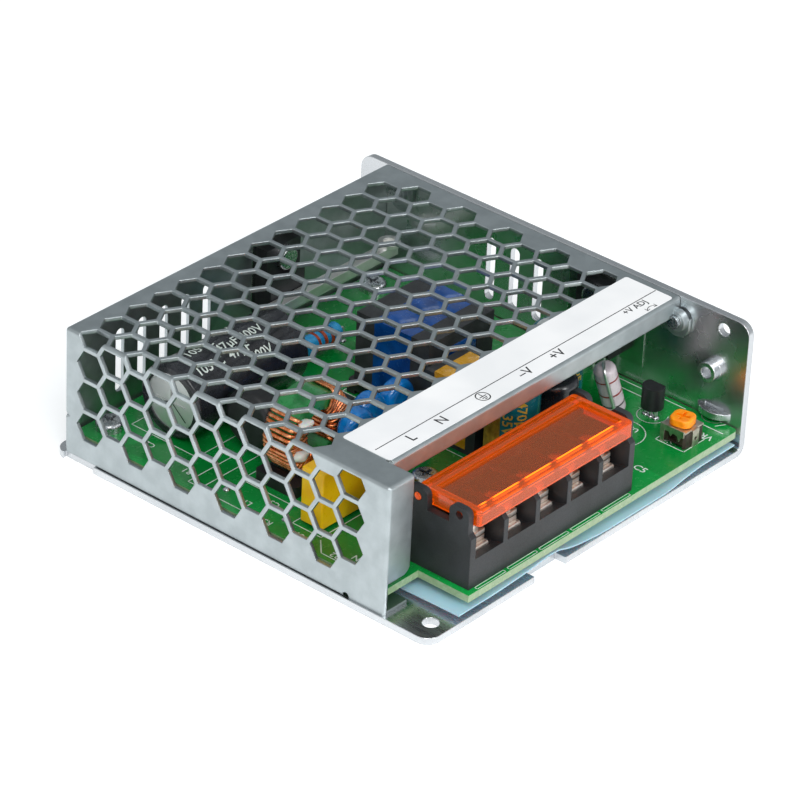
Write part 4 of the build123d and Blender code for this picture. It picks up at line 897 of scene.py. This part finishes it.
sawn_aluminium, tree, shader = start_material("sawn_aluminium_bar", "#f1f1ee", 0.5, 1.0)
mottle(tree, shader, 3.0, "#e6e6e2", "#fafaf8", (3.0, 1.0, 1.0))
grain(tree, shader, 0.7, (0.44, 0.60), 0.006, (8.0, 1.0, 1.0), edge=0.2)
bar_middle = (72.0, 88.5, 14.5)
bar_size = (38, 2.5, 2.4)
ring_seat = (89.4, 88.4, 15.72)
ring_inside = 1.3
ring_outside = 2.4
ring_height = 0.9
bm = bmesh.new()
bmesh.ops.create_cube(bm, size=1, matrix=Matrix.Translation(bar_middle) @ Matrix.Diagonal((*bar_size, 1)))
band(bm, ring_inside, ring_outside, 0, ring_height, Matrix.Translation(ring_seat), sides=24)
finish_piece("clamp_bar", bm, sawn_aluminium)


# Perforated cover
# Zinc plated steel sheet, 0.8 mm, punched with hexagons and folded round the top, side and rear.
# The satin plating mirrors the room softly; the punch leaves its edges slightly brighter.

zinc_steel, tree, shader = start_material("zinc_plated_steel_sheet", "#b4bcbe", 0.42, 1.0)
mottle(tree, shader, 3.5, "#aeb6b8", "#bac2c4")
grain(tree, shader, 0.45, (0.36, 0.46), 0.008, edge=0.35)
dress("perforated_cover", zinc_steel)


# Rating label
# White polyester film with an adhesive back, printed in black beside the terminals.
# It carries the terminal marks, the trimmer's mark with its arc, and one ruled line behind them.

white_film, tree, shader = start_material("white_polyester_label", "#f1f2f2", 0.38)
mottle(tree, shader, 12.0, "#ecedee", "#f6f6f6")
grain(tree, shader, 0.8, (0.33, 0.45), 0.006)
dress("rating_label", white_film)
black_ink, tree, shader = start_material("black_printing_ink", "#1b1b1d", 0.4)
mottle(tree, shader, 1.0, "#161618", "#262629")

label_top = 30.0
print_lift = 0.006
label_z = label_top + print_lift
mark_y = 20.5
mark_height = 2.3
trimmer_mark_height = 1.6
rule_width = 0.22
sign_line_width = 0.24
arrow_line_width = 0.16
bm = bmesh.new()
strip(bm, [(8.9, 22.5), (93.5, 22.35)], rule_width, label_z)
for words, x in (("L", 16.9), ("N", 25.7), ("–V", 50.6), ("+V", 60.3)):
    lettering(bm, words, mark_height, x, mark_y, label_z)
lettering(bm, "+V ADJ", trimmer_mark_height, 85.4, 21.1, label_z)
earth_x = 37.9
earth_y = 20.6
earth_lines = [arc(earth_x, earth_y, 1.45, 0, 360, 32), [(earth_x, earth_y + 1), (earth_x, earth_y)]]
for half_reach, drop in ((0.85, 0), (0.55, 0.5), (0.25, 0.95)):
    earth_lines.append([(earth_x - half_reach, earth_y - drop), (earth_x + half_reach, earth_y - drop)])
for line in earth_lines:
    strip(bm, line, sign_line_width, label_z)
strip(bm, arc(87.6, 17.4, 1.8, 35, 145), arrow_line_width, label_z)
tip_y = 18.43
for tip_x, lean in ((86.13, 1), (89.07, -1)):
    barbs = [(tip_x + 0.75 * lean, tip_y + 0.07), (tip_x, tip_y), (tip_x + 0.05 * lean, tip_y + 0.77)]
    strip(bm, barbs, arrow_line_width, label_z)
finish_piece("label_printing", bm, black_ink)
